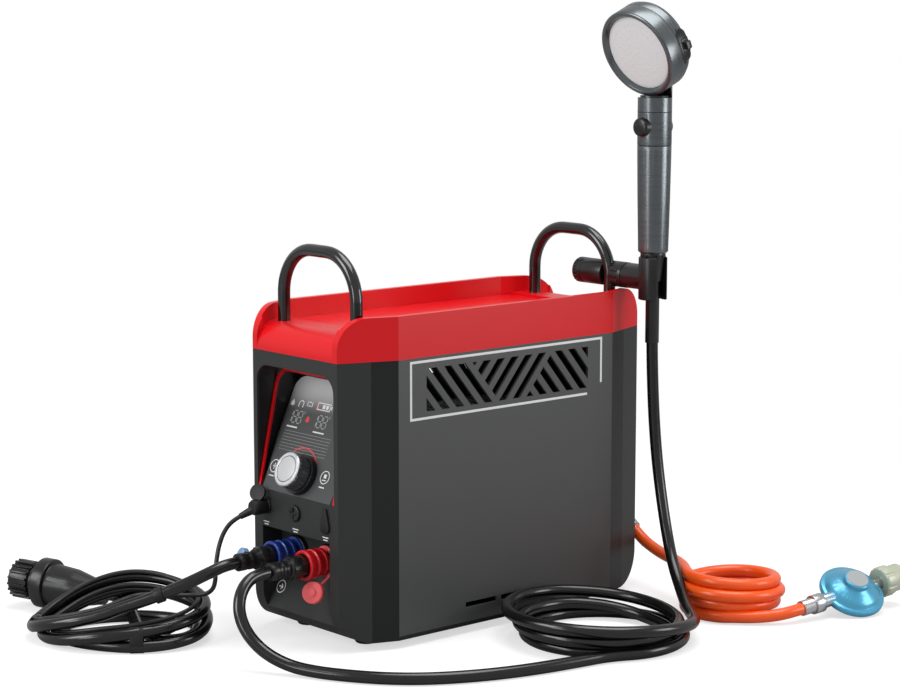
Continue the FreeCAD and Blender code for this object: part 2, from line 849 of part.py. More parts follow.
def gas_supply_parts(floor):
    valve_rear = valve_front + valve_length
    top = gas_inlet_level + exchanger_wall
    valve = box(-valve_left, valve_right, valve_front, valve_rear, floor, top)
    middle = V(0, valve_front + valve_length / 2, top)
    keep("gas_valve", valve.fuse(rod(solenoid_radius, middle, V(0, 0, 1), solenoid_height)))

    along = V(0, 1, 0)
    start = V(gas_inlet_x, valve_rear, gas_inlet_level)
    supply = rod(supply_radius, start, along, gas_elbow().y - valve_rear)
    union = rod(port_tail, V(gas_inlet_x, half_l - wall, gas_inlet_level), along, wall)
    flange = rod(cap_radius, V(gas_inlet_x, half_l, gas_inlet_level), along, wall)
    elbow = Part.makeSphere(solenoid_radius, gas_elbow())
    keep("gas_inlet", fuse([supply, union, flange, elbow]))


def pipe_parts():
    """A cold and a hot pipe from the ports to the exchanger, with the flow sensor in the cold one."""
    start_y = pocket_back + sensor_gap
    rise_y = front_y + pipe_front_gap
    high = water_level + pipe_rise
    end_y = pipe_end_y()
    pipes = []
    for side in (-1, 1):
        corners = [
            V(side * port_x, start_y, water_level), V(side * port_x, rise_y, water_level),
            V(side * port_x, rise_y, high), V(side * pipe_side, rise_y, high),
            V(side * pipe_side, end_y, high), V(side * pipe_side, end_y, tube_level()),
            V(side * (exchanger_half + tube_reach), end_y, tube_level()),
        ]
        run = []
        for first, second in zip(corners, corners[1:]):
            run.append(rod(pipe_radius, first, second - first, (second - first).Length))
        run += [Part.makeSphere(pipe_radius, corner) for corner in corners[1:-1]]
        if side < 0:
            run.append(rod(sensor_radius, corners[0], V(0, 1, 0), sensor_length))
        pipes.append(fuse(run))
    keep("water_pipes", *pipes)


def gas_elbow():
    return V(gas_inlet_x, half_l + gas_elbow_depth, gas_inlet_level)


# ---------------------------------------------------------------- shower holder
def holder_parts():
    axis = V(1, 0, 0)
    barrel = rod(barrel_radius, V(barrel_left, barrel_y, barrel_level), axis, barrel_right - barrel_left)
    notch = box(handle_half_width - tube_radius - 0.8, handle_half_width + tube_radius,
                barrel_y - 40, leg_y, barrel_level - 30, barrel_level + 30)
    thread = rod(clamp_screw_radius + run_gap, V(barrel_left - 1, barrel_y, barrel_level), axis,
                 handle_half_width - tube_radius - barrel_left + 1)
    pin = rod(pivot_radius, V(barrel_right - 1, barrel_y, barrel_level), axis, pivot_length + 1)
    ribs = []
    rib_x = handle_half_width + tube_radius + 2
    for level in (-5.0, 0.0, 5.0):
        front = barrel_y - math.sqrt(barrel_radius ** 2 - level ** 2)
        middle = barrel_level + level
        ribs.append(box(rib_x, rib_x + 9, front - 0.8, front + 2, middle - 1, middle + 1))
    body = barrel.cut(notch).cut(handle(leg_y)).cut(thread)
    keep("clamp_body", fuse([body, pin] + ribs))

    screw_end = handle_half_width - tube_radius - loose_gap
    screw_start = barrel_left - 6
    screw = rod(clamp_screw_radius, V(screw_start, barrel_y, barrel_level), axis, screw_end - screw_start)
    keep("clamp_screw", screw)
    knob_x = barrel_left - loose_gap - clamp_knob_length
    knob = turned([
        (0, 0), (barrel_radius - 2, 0), (barrel_radius, 2), (barrel_radius, clamp_knob_length - 1),
        (barrel_radius - 1, clamp_knob_length), (clamp_screw_radius + run_gap, clamp_knob_length),
        (clamp_screw_radius + run_gap, clamp_knob_length - 5.7), (0, clamp_knob_length - 5.7),
    ])
    notch_cut = Part.makeCylinder(1.1, 9, V(barrel_radius + 0.4, 0, -1))
    cuts = [notch_cut.rotated(V(0, 0, 0), V(0, 0, 1), 18 * i) for i in range(20)]
    keep("clamp_knob", aim(knob.cut(cuts), V(knob_x, barrel_y, barrel_level), axis))

    slope = (cone_top_radius - cone_low_radius) / (cradle_top - cone_bottom)
    low_bore = cone_low_radius + loose_gap
    seat_bottom = cradle_top - (cone_top_radius - cone_low_radius) / slope
    outline = [
        (low_bore, cradle_bottom), (cradle_radius - 0.6, cradle_bottom), (cradle_radius, cradle_bottom + 0.6),
        (cradle_radius, cradle_top - 0.6), (cradle_radius - 0.6, cradle_top),
        (cone_top_radius + loose_gap, cradle_top), (low_bore, seat_bottom),
    ]
    cup = turned(outline).translated(V(cradle_x, barrel_y, 0))
    arm_start = barrel_right + loose_gap
    arm = rod(barrel_radius - 0.3, V(arm_start, barrel_y, barrel_level), axis, cradle_x - arm_start)
    core = Part.makeCylinder(cradle_radius - 1, 80, V(cradle_x, barrel_y, cradle_bottom - 10))
    arm = arm.cut(core)
    socket = rod(pivot_radius + run_gap, V(arm_start - 1, barrel_y, barrel_level), axis, pivot_length + 2)
    slot = box(cradle_x, cradle_x + 30, barrel_y - cradle_slot / 2, barrel_y + cradle_slot / 2,
               cradle_bottom - 5, cradle_top + 5)
    keep("holder_cradle", cup.fuse(arm).cut(socket).cut(slot))


# ---------------------------------------------------------------- hand shower
def shower_parts():
    centre = V(cradle_x, barrel_y, 0)
    hose_bore = hose_radius + hose_clear
    sleeve_outer = hose_bore + sleeve_wall
    nut = turned([
        (hose_bore, cone_bottom - hose_sleeve_length), (sleeve_outer, cone_bottom - hose_sleeve_length),
        (sleeve_outer, cone_bottom), (cone_low_radius, cone_bottom), (cone_top_radius, cradle_top),
        (cone_top_radius + 1, cradle_top), (cone_top_radius + 1, grip_bottom), (water_way + 1, grip_bottom),
        (water_way + 1, grip_bottom + 10),
        (4.0, grip_bottom + 10), (4.0, cone_bottom + 12), (hose_bore, cone_bottom + 12),
    ])
    flute = Part.makeCone(1.4, 1.8, 20, V(cone_low_radius + 2.1, 0, cradle_top - 18), V(0.1, 0, 1))
    flutes = [flute.rotated(V(0, 0, 0), V(0, 0, 1), 36 * i) for i in range(10)]
    keep("cone_nut", nut.cut(flutes).translated(centre))

    bow = (grip_low_radius + grip_radius) / 2 + 0.15
    grip = turned([
        (water_way, grip_bottom + 10), (water_way + 1, grip_bottom + 10), (water_way + 1, grip_bottom),
        (grip_low_radius - 1.5, grip_bottom), (grip_low_radius, grip_bottom + 1.5),
        (bow, (grip_bottom + grip_seam) / 2), (grip_radius, grip_seam - 0.5), (grip_radius - 0.5, grip_seam),
        (grip_radius, grip_seam + 0.5), (grip_radius, grip_top), (water_way, grip_top),
    ]).translated(centre)
    cross = rod(button_radius + run_gap, V(cradle_x, barrel_y - 40, button_level), V(0, 1, 0), 80)
    keep("shower_grip", grip.cut(cross))
    button_length = button_front + button_rear
    crown = 3.0
    button = turned([
        (0, 0), (button_radius - crown, 0), (button_radius - crown * 0.3, crown * 0.3),
        (button_radius, crown), (button_radius, button_length - crown),
        (button_radius - crown * 0.3, button_length - crown * 0.3),
        (button_radius - crown, button_length), (0, button_length),
    ])
    keep("stop_button", aim(button, V(cradle_x, barrel_y - button_front, button_level), V(0, 1, 0)))

    # The head is turned about its own axis, which points forward and down.
    head_back = V(cradle_x, barrel_y + head_back_y, head_level)
    frame = FreeCAD.Placement(head_back, FreeCAD.Rotation(V(1, 0, 0), 90 + head_tilt))

    def on_head(shape):
        placed = shape.copy()
        placed.Placement = frame.multiply(placed.Placement)
        return placed

    shell = on_head(turned([
        (0, 0), (head_radius - 7, 0), (head_radius - 2.2, 2.2), (head_radius, 7),
        (head_radius, head_seam - 0.4), (head_radius - 0.4, head_seam), (0, head_seam),
    ]))
    behind = on_head(Part.makeBox(200, 200, 200, V(-100, -100, head_seam - 200)))
    neck = Part.makeCylinder(grip_radius, 40, V(cradle_x, barrel_y, grip_top))
    stub = Part.makeCylinder(grip_radius, neck_top - grip_top, V(cradle_x, barrel_y, grip_top))
    neck = neck.common(behind).fuse(stub)
    slot = lever_solid(head_radius - 3, head_radius + 5, lever_slot_angle, 2.0, 12.0)
    keep("head_shell", fuse([shell, neck]).cut(on_head(slot)))

    front = head_depth
    seat = front - plate_recess
    ledge = plate_radius - 3
    bezel = turned([
        (ledge, head_seam), (head_radius - 0.4, head_seam), (head_radius, head_seam + 0.4),
        (head_radius, front - 1.5), (head_radius - 1.5, front), (plate_radius + 2.5, front),
        (plate_radius, seat), (plate_radius, seat - plate_thickness), (ledge, seat - plate_thickness),
    ])
    keep("head_bezel", on_head(bezel))
    plate = turned([
        (0, seat - plate_thickness), (plate_radius, seat - plate_thickness), (plate_radius, seat - 0.4),
        (plate_radius - 3, seat), (0, seat),
    ])
    keep("spray_plate", on_head(plate))

    # A thumb lever that runs in the slot round the head's side.
    floor = head_radius - 3 + run_gap
    base = lever_solid(floor, head_radius + 0.8, lever_half_angle, 2.3, 11.7)
    thumb = lever_solid(floor, head_radius + 5, lever_half_angle / 2, 4.0, 10.0)
    keep("mode_lever", on_head(base.fuse(thumb)))


def lever_solid(inner, outer, half_angle, low, high):
    """A sector of a ring, centred on the +X side."""
    sector = Part.makeCylinder(outer, high - low, V(0, 0, low), V(0, 0, 1), 2 * half_angle)
    sector = sector.cut(Part.makeCylinder(inner, high - low, V(0, 0, low)))
    return sector.rotated(V(0, 0, 0), V(0, 0, 1), -half_angle)


# ---------------------------------------------------------------- cords
def route_wire(points, name):
    """Straight runs joined by tangent arcs as large as the runs allow."""
    edges = []
    last = points[0]
    radii = []
    for i in range(1, len(points) - 1):
        before = points[i] - points[i - 1]
        after = points[i + 1] - points[i]
        turn = before.getAngle(after)
        reach = 0.45 * min(before.Length, after.Length)
        radii.append(reach / math.tan(turn / 2))
        first = points[i] - before.normalize() * reach
        second = points[i] + after.normalize() * reach
        inward = (first + second) * 0.5 - points[i]
        radius = radii[-1]
        depth = radius / math.cos(turn / 2) - radius
        middle = points[i] + inward.normalize() * depth
        edges.append(Part.LineSegment(last, first).toShape())
        edges.append(Part.Arc(first, middle, second).toShape())
        last = second
    edges.append(Part.LineSegment(last, points[-1]).toShape())
    wire = Part.Wire(edges)
    print(name, "smallest radius", round(min(radii), 1), "length", round(wire.Length, 1))
    return wire


def cord(name, points, radius):
    vectors = [V(*p) for p in points]
    wire = route_wire(vectors, name)
    tube = sweep(wire, radius, vectors[0], vectors[1] - vectors[0])
    expected = math.pi * radius * radius * wire.Length
    print(name, "volume ratio", round(tube.Volume / expected, 4), "low", round(tube.BoundBox.ZMin, 2))
    return tube


def coil(x, y, outer, inner, height):
    """Outer shape of a stack of turns lying on the ground."""
    body = turned([
        (inner, ground_gap + 3), (inner + 3, ground_gap), (outer - 3, ground_gap), (outer, ground_gap + 3),
        (outer, height - 3), (outer - 3, height), (inner + 3, height), (inner, height - 3),
    ])
    return body.translated(V(x, y, 0))


def oval_coil(x, y, half_length, half_width, thickness, height, turn):
    """Outer shape of a hank laid in an oval, its long axis turned from +X."""
    def slot(a, b, z0, z1):
        edge = Part.Ellipse(V(0, 0, z0), a, b).toShape()
        return Part.Face(Part.Wire([edge])).extrude(V(0, 0, z1 - z0))
    body = slot(half_length, half_width, ground_gap, height)
    body = body.cut(slot(half_length - thickness, half_width - thickness, 0, height + 1))
    body.Placement = FreeCAD.Placement(V(x, y, 0), FreeCAD.Rotation(V(0, 0, 1), turn))
    return body


def cord_parts():
    lie = hose_radius + ground_gap
    plug_end = pocket_back - tail_end
    outlet = [
        (port_x, plug_end, water_level), (port_x, -257, water_level), (27, -271, 75.5),
        (31.5, -282, 64.5), (39, -287, 50), (50.5, -285, 34.5), (67, -276.5, 20), (89, -264, 9.5),
        (114, -250, 6.3), (142, -234, lie), (168, -215, lie), (191, -189, lie), (209, -158, lie),
        (223, -124, lie), (233, -88, lie), (240, -50, lie), (245, -20, lie),
    ]
    keep("shower_hose", cord("shower_hose", outlet, hose_radius))
    keep("shower_coil", coil(
        shower_coil_x, shower_coil_y, shower_coil_outer, shower_coil_inner, shower_coil_height))
    riser = [
        (213, 117, 20), (182, 139, 28), (156, 156, 48), (137, 167, 77), (125, 171, 112), (118, 171.5, 148),
        (114, 171, 186), (112.2, 170, 225), (cradle_x + 0.1, barrel_y + 0.1, 262), (cradle_x, barrel_y, 299),
        (cradle_x, barrel_y, cone_bottom + 8),
    ]
    keep("shower_riser", cord("shower_riser", riser, hose_radius))
    inlet = [
        (-port_x, plug_end, water_level), (-port_x, -258, water_level), (-28.5, -274, 74.5),
        (-37.5, -289.5, 66.5), (-50, -305.5, 57.5), (-66, -322.5, 48.5), (-82, -338.5, 41), (-98, -354.5, 34),
    ]
    pump_way = (pump_end - pump_tip).normalize()
    lead = [tuple(pump_end), tuple(pump_end + pump_way * 17), (-166, -267, 19.8), (-148, -269, 19.5)]
    keep("inlet_hose", cord("inlet_hose", inlet, hose_radius), cord("pump_lead", lead, hose_radius))
    keep("inlet_coil", oval_coil(
        inlet_coil_x, inlet_coil_y, inlet_coil_length, inlet_coil_width, inlet_coil_thickness,
        inlet_coil_height, inlet_coil_turn))
    clip_from = V(*inlet[4])
    clip_way = (V(*inlet[5]) - clip_from).normalize()
    keep("cable_clips", ring(hose_radius + 1.6, hose_radius, clip_from + clip_way * 6, clip_way, 8))

    out = V(0, -1, 0)
    head = V(socket_x, front_y - 2, port_level)
    plug = aim(turned([
        (0, -8), (3.0, -8), (3.0, 0), (7.6, 0), (7.6, 13), (6.4, 15), (0, 15),
    ]), head, out)
    exit_way = V(-0.578, -0.662, -0.478).normalize()
    root = head + out * 7.5
    relief_length = 20.0
    relief = Part.makeCone(4.8, cable_radius + 0.8, relief_length, root, exit_way)
    keep("dc_plug", plug.fuse(relief))
    start = root + exit_way * relief_length
    cable = [
        tuple(start), tuple(start + exit_way * 9), (-62.5, -233.5, 101.5), (-59, -241.5, 91),
        (-55.5, -247, 80), (-53, -250.5, 69), (-52, -251.5, 58.5), (-54.5, -252.5, 50),
        (-61, -255.5, 44.5), (-70, -260, 42.5),
    ]
    keep("power_cable", cord("power_cable", cable, cable_radius))

    lie = gas_radius + ground_gap
    supply = [
        (48, 210, 58), (63, 208.3, 50), (79, 205, 45), (97, 200.5, 42), (115, 195.5, 41),
        (133, 189, 40.5), (149, 180, 40.5), (163, 168, 40.5),
    ]
    fitting_bore = gas_radius - 1.5
    length = gas_fitting_length
    elbow = gas_elbow()
    first_way = (V(*supply[0]) - elbow).normalize()
    body = turned([
        (0, 7), (10.5, 7), (10.5, 22), (8, 22), (8, length), (0, length),
    ]).cut(Part.makeSphere(9.0, V(0, 0, 0)))
    rear_nut = aim(body, elbow, first_way)
    start = elbow + first_way * length
    supply = [tuple(start), tuple(start + first_way * 18)] + supply[2:]
    far_end = regulator_centre - regulator_way * (regulator_radius + 8)
    ferrule = aim(turned([
        (0, 0), (9.5, 0), (9.5, 12), (7.5, 12), (7.5, 26), (0, 26),
    ]), far_end, regulator_way * -1)
    keep("gas_hose_fittings", rear_nut, ferrule)
    last = far_end - regulator_way * 26
    run = [(229, 164, 7.2), (243.5, 175.5, 7.6), (257, 190, 9), tuple(last - regulator_way * 17), tuple(last)]
    first = cord("gas_hose", supply, gas_radius)
    second = cord("gas_hose_end", run, gas_radius)
    keep("gas_hose", first, second)
    keep("gas_coil", coil(gas_coil_x, gas_coil_y, gas_coil_outer, gas_coil_inner, gas_coil_height))


# ---------------------------------------------------------------- pump and regulator
def pump_parts():
    axis = (pump_end - pump_tip).normalize()
    length = (pump_end - pump_tip).Length
    neck = 30.3
    spigot = 14.0
    strainer = turned([
        (0, 0), (15, 0), (17, 2), (17, 22), (14.5, 23), (14.5, 28), (19, 28.5), (19, neck), (spigot, neck),
        (spigot, neck + 8), (0, neck + 8),
    ])
    rib = Part.makeBox(6, 2.2, 20, V(13.5, -1.1, 2))
    ribs = [rib.rotated(V(0, 0, 0), V(0, 0, 1), 20 * i) for i in range(18)]
    keep("pump_strainer", aim(fuse([strainer] + ribs), pump_tip, axis))
    start = neck + loose_gap
    bore = spigot + run_gap
    body = turned([
        (0, neck + 8 + loose_gap), (bore, neck + 8 + loose_gap), (bore, start), (pump_radius - 1, start),
        (pump_radius, start + 1), (pump_radius, start + 13), (pump_radius - 1, start + 14), (21, start + 14),
        (19, start + 40), (12, length - 6), (11, length), (0, length),
    ])
    keep("pump_body", aim(body, pump_tip, axis))


def regulator_parts():
    axis = regulator_way
    lean = math.radians(regulator_lean)
    across = V(0, 0, 1).cross(axis).normalize() * -1
    up = (V(0, 0, 1) * math.cos(lean) + across * math.sin(lean)).normalize()
    up = (up - axis * up.dot(axis)).normalize()
    r = regulator_radius
    dome = turned([
        (0, -16), (13, -16), (15, -14), (16, -8), (r - 6, -5), (r - 1, -3), (r, -1.5), (r, 1.5), (r - 1, 3),
        (r - 4, 3.5), (r - 8, 8), (15, 13), (13.5, 14), (13.5, 18), (12.5, 19), (0, 19),
    ])
    body = aim(dome, regulator_centre, up)
    inlet = rod(7.0, regulator_centre - axis * (r + 8), axis, r)
    outlet = rod(6.0, regulator_centre, axis, r + 15)
    keep("regulator_body", body.fuse(inlet).fuse(outlet))
    start = r + 4.0
    wheel = turned([
        (6.0 + run_gap, start), (14, start), (15.5, start + 2), (15.5, start + 11),
        (13.5, start + 13), (13.5, start + 26), (bottle_bore, start + 26), (bottle_bore, start + 12),
        (6.0 + run_gap, start + 11.5),
    ])
    dent = Part.makeCylinder(2.2, 16, V(16.5, 0, start - 1))
    dents = [dent.rotated(V(0, 0, 0), V(0, 0, 1), 45 * i) for i in range(8)]
    keep("regulator_handwheel", aim(wheel.cut(dents), regulator_centre, axis))


# ---------------------------------------------------------------- build
recess_parts()
knob_parts()
front_shell()
rear_shell()
keep("side_frame_right", side_frame(1))
keep("side_frame_left", side_frame(-1))
slots = grille_slots()
keep("side_panel_right", side_panel(1, slots))
keep("side_panel_left", side_panel(-1, slots))
base_parts()
top_cover()
keep("front_handle", handle(-leg_y))
keep("rear_handle", handle(leg_y))
port_parts()
water_parts()
inner_parts()
holder_parts()
shower_parts()
cord_parts()
pump_parts()
regulator_parts()

os.makedirs("parts", exist_ok=True)
for name, solids in PARTS.items():
    shape = solids[0] if len(solids) == 1 else Part.makeCompound(solids)
    if not shape.isValid():
        print("not valid", name)
    shape.exportStep("parts/" + name + ".step")
print(len(PARTS), "nodes")
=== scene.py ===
import json
import math

import bpy
from bpy.props import FloatProperty, FloatVectorProperty, PointerProperty
from mathutils import Matrix, Vector

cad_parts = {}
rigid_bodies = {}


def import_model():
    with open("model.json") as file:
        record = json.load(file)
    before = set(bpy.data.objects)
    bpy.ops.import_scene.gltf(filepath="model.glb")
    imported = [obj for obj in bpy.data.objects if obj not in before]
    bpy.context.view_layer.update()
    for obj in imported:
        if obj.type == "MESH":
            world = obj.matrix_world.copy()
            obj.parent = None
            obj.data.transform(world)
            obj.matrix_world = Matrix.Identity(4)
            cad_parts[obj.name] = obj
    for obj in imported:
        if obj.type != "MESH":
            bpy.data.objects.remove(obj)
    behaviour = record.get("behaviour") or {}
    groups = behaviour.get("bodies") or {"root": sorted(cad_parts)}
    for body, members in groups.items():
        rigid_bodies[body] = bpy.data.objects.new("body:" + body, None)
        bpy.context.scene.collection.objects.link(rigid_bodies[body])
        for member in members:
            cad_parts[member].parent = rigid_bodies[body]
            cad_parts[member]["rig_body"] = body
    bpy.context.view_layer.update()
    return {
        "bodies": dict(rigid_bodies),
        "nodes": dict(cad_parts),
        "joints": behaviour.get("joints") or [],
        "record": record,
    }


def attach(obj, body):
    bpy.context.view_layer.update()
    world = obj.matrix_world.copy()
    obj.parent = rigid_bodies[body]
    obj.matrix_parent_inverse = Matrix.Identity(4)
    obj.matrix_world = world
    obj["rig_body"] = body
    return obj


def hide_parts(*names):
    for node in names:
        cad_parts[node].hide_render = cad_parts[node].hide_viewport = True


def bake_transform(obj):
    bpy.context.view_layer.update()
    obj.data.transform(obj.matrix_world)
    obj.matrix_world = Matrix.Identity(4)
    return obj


bl_info = {
    "name": "Portable water heater",
    "version": (1, 0, 0),
    "blender": (4, 5, 0),
    "location": "View3D > Sidebar > Heater",
    "description": "Dresses the solids of a portable water heater with its hoses, prints and finishes",
    "category": "Add Mesh",
}

MM = 0.001
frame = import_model()

# --- Places shared with the solids, in millimetres ---
ALONG_X = Vector((1, 0, 0))
ALONG_Y = Vector((0, 1, 0))
ALONG_Z = Vector((0, 0, 1))
FRONT = -195
PANEL_FOOT = Vector((0, FRONT, 139.5))
PANEL_LEAN = math.radians(25.6)
PANEL_OUT = Vector((0, -math.cos(PANEL_LEAN), math.sin(PANEL_LEAN)))
PANEL_UP = Vector((0, math.sin(PANEL_LEAN), math.cos(PANEL_LEAN)))
KNOB_UP = 22
KNOB_HEIGHT = 22
RING_DEPTH = 2.2
SKIRT_RADIUS = 19.6
SHEET_THICKNESS = 0.3
SHEET_TOP = 117
# where the control sheet's painted sheen starts, in mm up from the panel's foot
PAINTED_SHEEN_FROM = 80
TRIM_LEAN = math.radians(12.2)
PORT_X = 25
PORT_LEVEL = 124.5
WATER_LEVEL = 80
PLUG_END = -245
SIDE_FACE = 86
CHUTE_SLOPE = math.radians(63.4)
CHUTE_MARK = Vector((-42.8, -180.5, 43.0))
HANDSET_X = 111.5
HANDSET_Y = 169
HEAD_BACK = Vector((HANDSET_X, 170.7, 564.3))
HEAD_LEAN = math.radians(24)
HEAD_OUT = Vector((0, -math.cos(HEAD_LEAN), -math.sin(HEAD_LEAN)))
HEAD_UP = Vector((0, -math.sin(HEAD_LEAN), math.cos(HEAD_LEAN)))
HEAD_DEPTH = 32
PLATE_RECESS = 4
PUMP_TIP = Vector((-295, -325, 28))
PUMP_END = Vector((-200, -280, 21.5))
PUMP_WAY = (PUMP_END - PUMP_TIP).normalized()
REGULATOR = Vector((276.5, 288, 20.6))
GAS_WAY = Vector((0.12, 0.987, 0.11)).normalized()
REGULATOR_RADIUS = 33
REGULATOR_LEAN = math.radians(31)
DOME_HEIGHT = 19
GAS_ELBOW = Vector((14, 213, 78))
GAS_WAY_OUT = (Vector((48, 210, 58)) - GAS_ELBOW).normalized()
PLUG_HEAD = Vector((-46, -197, PORT_LEVEL))
CABLE_WAY = Vector((-0.578, -0.662, -0.478)).normalized()
CABLE_ROOT = PLUG_HEAD + Vector((0, -7.5, 0)) + CABLE_WAY * 20
HANK_CENTRE = Vector((-120, -307, 0))
HANK_TURN = math.radians(49)
HANK_SQUEEZE = 18
TURN_POINTS = 14
BAND_THICKNESS = 0.4

# --- Settings that all pieces share: millimetres, degrees of bend, and shares of the roughness ---
MERGE_GAP = 0.002
FLAT_BEND = 0.3
SHARP_BEND = 40
SHELL_BEND = 15
TUBE_BEND = 20
FACING = 0.9
SIDE_FACING = 0.95
INK = 0.06
DRIFT_WIDTH = 70
DRIFT_LEAST = 0.25
POLISH_LEAST = 0.92
POLISH_MOST = 1.1


# ---------------------------------------------------------------- colours and shader nodes
def linear(code):
    """Turns an sRGB hex colour into the linear colour that shaders use."""
    parts = [int(code[i:i + 2], 16) / 255 for i in (1, 3, 5)]
    return [p / 12.92 if p <= 0.04045 else ((p + 0.055) / 1.055) ** 2.4 for p in parts]


def add(tree, kind, sockets, **settings):
    """Adds a shader node with its settings, and sets its inputs or links them to a socket or a node."""
    made = tree.nodes.new("ShaderNode" + kind)
    for name, value in settings.items():
        setattr(made, name, value)
    for name, value in sockets.items():
        if isinstance(value, bpy.types.Node):
            value = value.outputs[0]
        if isinstance(value, bpy.types.NodeSocket):
            tree.links.new(value, made.inputs[name])
        else:
            made.inputs[name].default_value = value
    return made


def bare_tree(owner):
    """The emptied node tree of a material or a world."""
    owner.use_nodes = True
    owner.node_tree.nodes.clear()
    return owner.node_tree


def surface(name, base, rough, grain, relief, swing=0.06, metal=0.0, coat=0.0, shine=0.5,
            stretch=(1, 1, 1), turn=(0, 0, 0), detail=2.0, fade=None):
    """A finish whose colour drifts a little over the piece, with a grain that moves roughness and bump.

    grain is the grain's width in mm and relief its height in mm. stretch pulls the grain along the
    axes of a space turned by turn, as brushing does. shine is the shader's specular level. fade is
    (direction, from mm, to mm, colour): the base passes over to that colour along the direction.
    """
    if name in bpy.data.materials:
        return bpy.data.materials[name]
    material = bpy.data.materials.new(name)
    tree = bare_tree(material)
    base = list(base)[:3]
    place = add(tree, "TexCoord", {})
    pulled = add(tree, "Mapping", {
        "Vector": place.outputs["Object"], "Rotation": turn, "Scale": stretch}, vector_type="TEXTURE")
    fine = add(tree, "TexNoise", {"Vector": pulled, "Scale": 1 / (grain * MM), "Detail": detail})
    broad = add(tree, "TexNoise", {
        "Vector": place.outputs["Object"], "Scale": 1 / (DRIFT_WIDTH * MM), "Detail": 2.0})
    blend = add(tree, "Math", {0: broad, 1: fine, 2: DRIFT_LEAST}, operation="MULTIPLY_ADD")
    dark = [c * (1 - swing) for c in base]
    pale = [min(1.0, c * (1 + swing)) for c in base]
    drift = add(tree, "MixRGB", {"Fac": blend, "Color1": dark + [1.0], "Color2": pale + [1.0]})
    if fade:
        way, start, end, far_colour = fade
        along = add(tree, "VectorMath", {0: place.outputs["Object"], 1: way}, operation="DOT_PRODUCT")
        share = add(tree, "MapRange", {
            "Value": along.outputs["Value"], "From Min": start * MM, "From Max": end * MM},
            interpolation_type="SMOOTHSTEP")
        drift = add(tree, "MixRGB", {"Fac": share, "Color1": drift, "Color2": [*far_colour, 1.0]})
    polish = add(tree, "MapRange", {
        "Value": fine, "From Min": 0.3, "From Max": 0.7, "To Min": rough * POLISH_LEAST,
        "To Max": min(1.0, rough * POLISH_MOST)})
    bump = add(tree, "Bump", {"Height": fine, "Distance": relief * MM, "Strength": 1.0})
    shader = add(tree, "BsdfPrincipled", {
        "Base Color": drift, "Roughness": polish, "Metallic": metal, "Coat Weight": coat,
        "Coat Roughness": 0.1, "Specular IOR Level": shine, "Normal": bump})
    add(tree, "OutputMaterial", {"Surface": shader})
    return material


# ---------------------------------------------------------------- finishes
def look():
    """The colours that the sidebar holds."""
    return bpy.context.scene.heater_look


def red_abs():
    # Injection-moulded glossy ABS: deep red with a clear, slightly wavy sheen.
    return surface("Glossy red ABS", look().cover_red, 0.3, 2.4, 0.001, swing=0.02, shine=0.4, detail=0.0)


def charcoal_powder():
    # Powder-coated sheet steel: satin charcoal with a fine orange peel, drawn coarse enough to see.
    return surface("Charcoal powder coat", look().panel_grey, 0.4, 2.2, 0.02, shine=0.5)


def black_powder():
    # Powder-coated pressed frame: darker and more matt than the side sheets.
    return surface("Black powder coat", look().frame_black, 0.42, 2.0, 0.02, shine=0.3)


def textured_abs():
    # Spark-eroded ABS moulding: soft grey-black with a fine leather-like grain.
    return surface("Spark textured ABS", look().shell_grey, 0.48, 1.8, 0.05, shine=0.4)


def dark_abs():
    # The same resin, moulded black for small fittings, a little smoother.
    return surface("Black ABS", linear("#121314"), 0.3, 1.6, 0.012, shine=0.5)


def graphite_sheet():
    # Screen-printed polycarbonate over a graphite back, with a painted sheen: paler towards its top.
    foot = PANEL_FOOT.dot(PANEL_UP)
    return surface("Graphite polycarbonate sheet", look().sheet_grey, 0.42, 40.0, 0.002, shine=0.3,
                   detail=0.0, fade=(PANEL_UP, foot + PAINTED_SHEEN_FROM, foot + SHEET_TOP, linear("#e6e6e7")))


def gloss_black_paint():
    # Gloss powder coat on bent steel tube: near black with long soft highlights.
    return surface("Gloss black powder coat", linear("#0c0d0e"), 0.16, 8.0, 0.004, coat=0.5, detail=0.0)


def black_rubber():
    # Moulded rubber: matt and slightly dusty.
    return surface("Moulded black rubber", linear("#0f0f10"), 0.5, 1.5, 0.03, swing=0.1, shine=0.4)


def silver_trim():
    # Satin vacuum-metallised plastic: bright silver white.
    return surface("Satin metallised trim", linear("#cbccce"), 0.36, 30.0, 0.001, swing=0.02, metal=0.2,
                   detail=0.0)


def knob_metal():
    # Dark anodised knob body, brushed round its axis.
    return surface("Dark anodised aluminium", linear("#6d7073"), 0.3, 1.0, 0.0003, metal=0.8,
                   stretch=(30, 30, 1), turn=(math.pi / 2 - PANEL_LEAN, 0, 0))


def turned_ring():
    # Turned and clear-anodised front ring of the knob: mid silver with fine circles.
    return surface("Turned aluminium ring", linear("#e2e3e5"), 0.32, 1.0, 0.0002, swing=0.04, metal=0.7,
                   stretch=(30, 30, 1), turn=(math.pi / 2 - PANEL_LEAN, 0, 0))


def blue_coupling():
    # Glossy nylon of the cold coupling.
    return surface("Blue glossy nylon", look().inlet_blue, 0.26, 6.0, 0.006, coat=0.3, detail=0.0)


def red_coupling():
    # Glossy nylon of the hot coupling.
    return surface("Red glossy nylon", look().outlet_red, 0.26, 6.0, 0.006, coat=0.3, detail=0.0)


def red_rubber():
    # Soft red dust cap: silicone rubber with a milky surface.
    return surface("Red silicone rubber", linear("#ff6468"), 0.45, 1.6, 0.02, swing=0.05)


def pale_blue_rubber():
    # Soft pale-blue dust cap of the cold port.
    return surface("Pale blue silicone rubber", linear("#8fb0e2"), 0.5, 1.6, 0.03, swing=0.08)


def nickel_steel():
    # Nickel-plated steel of nuts, screws and ferrules: bright and slightly worn.
    return surface("Nickel plated steel", linear("#c3c5c6"), 0.28, 1.2, 0.02, swing=0.1, metal=1.0)


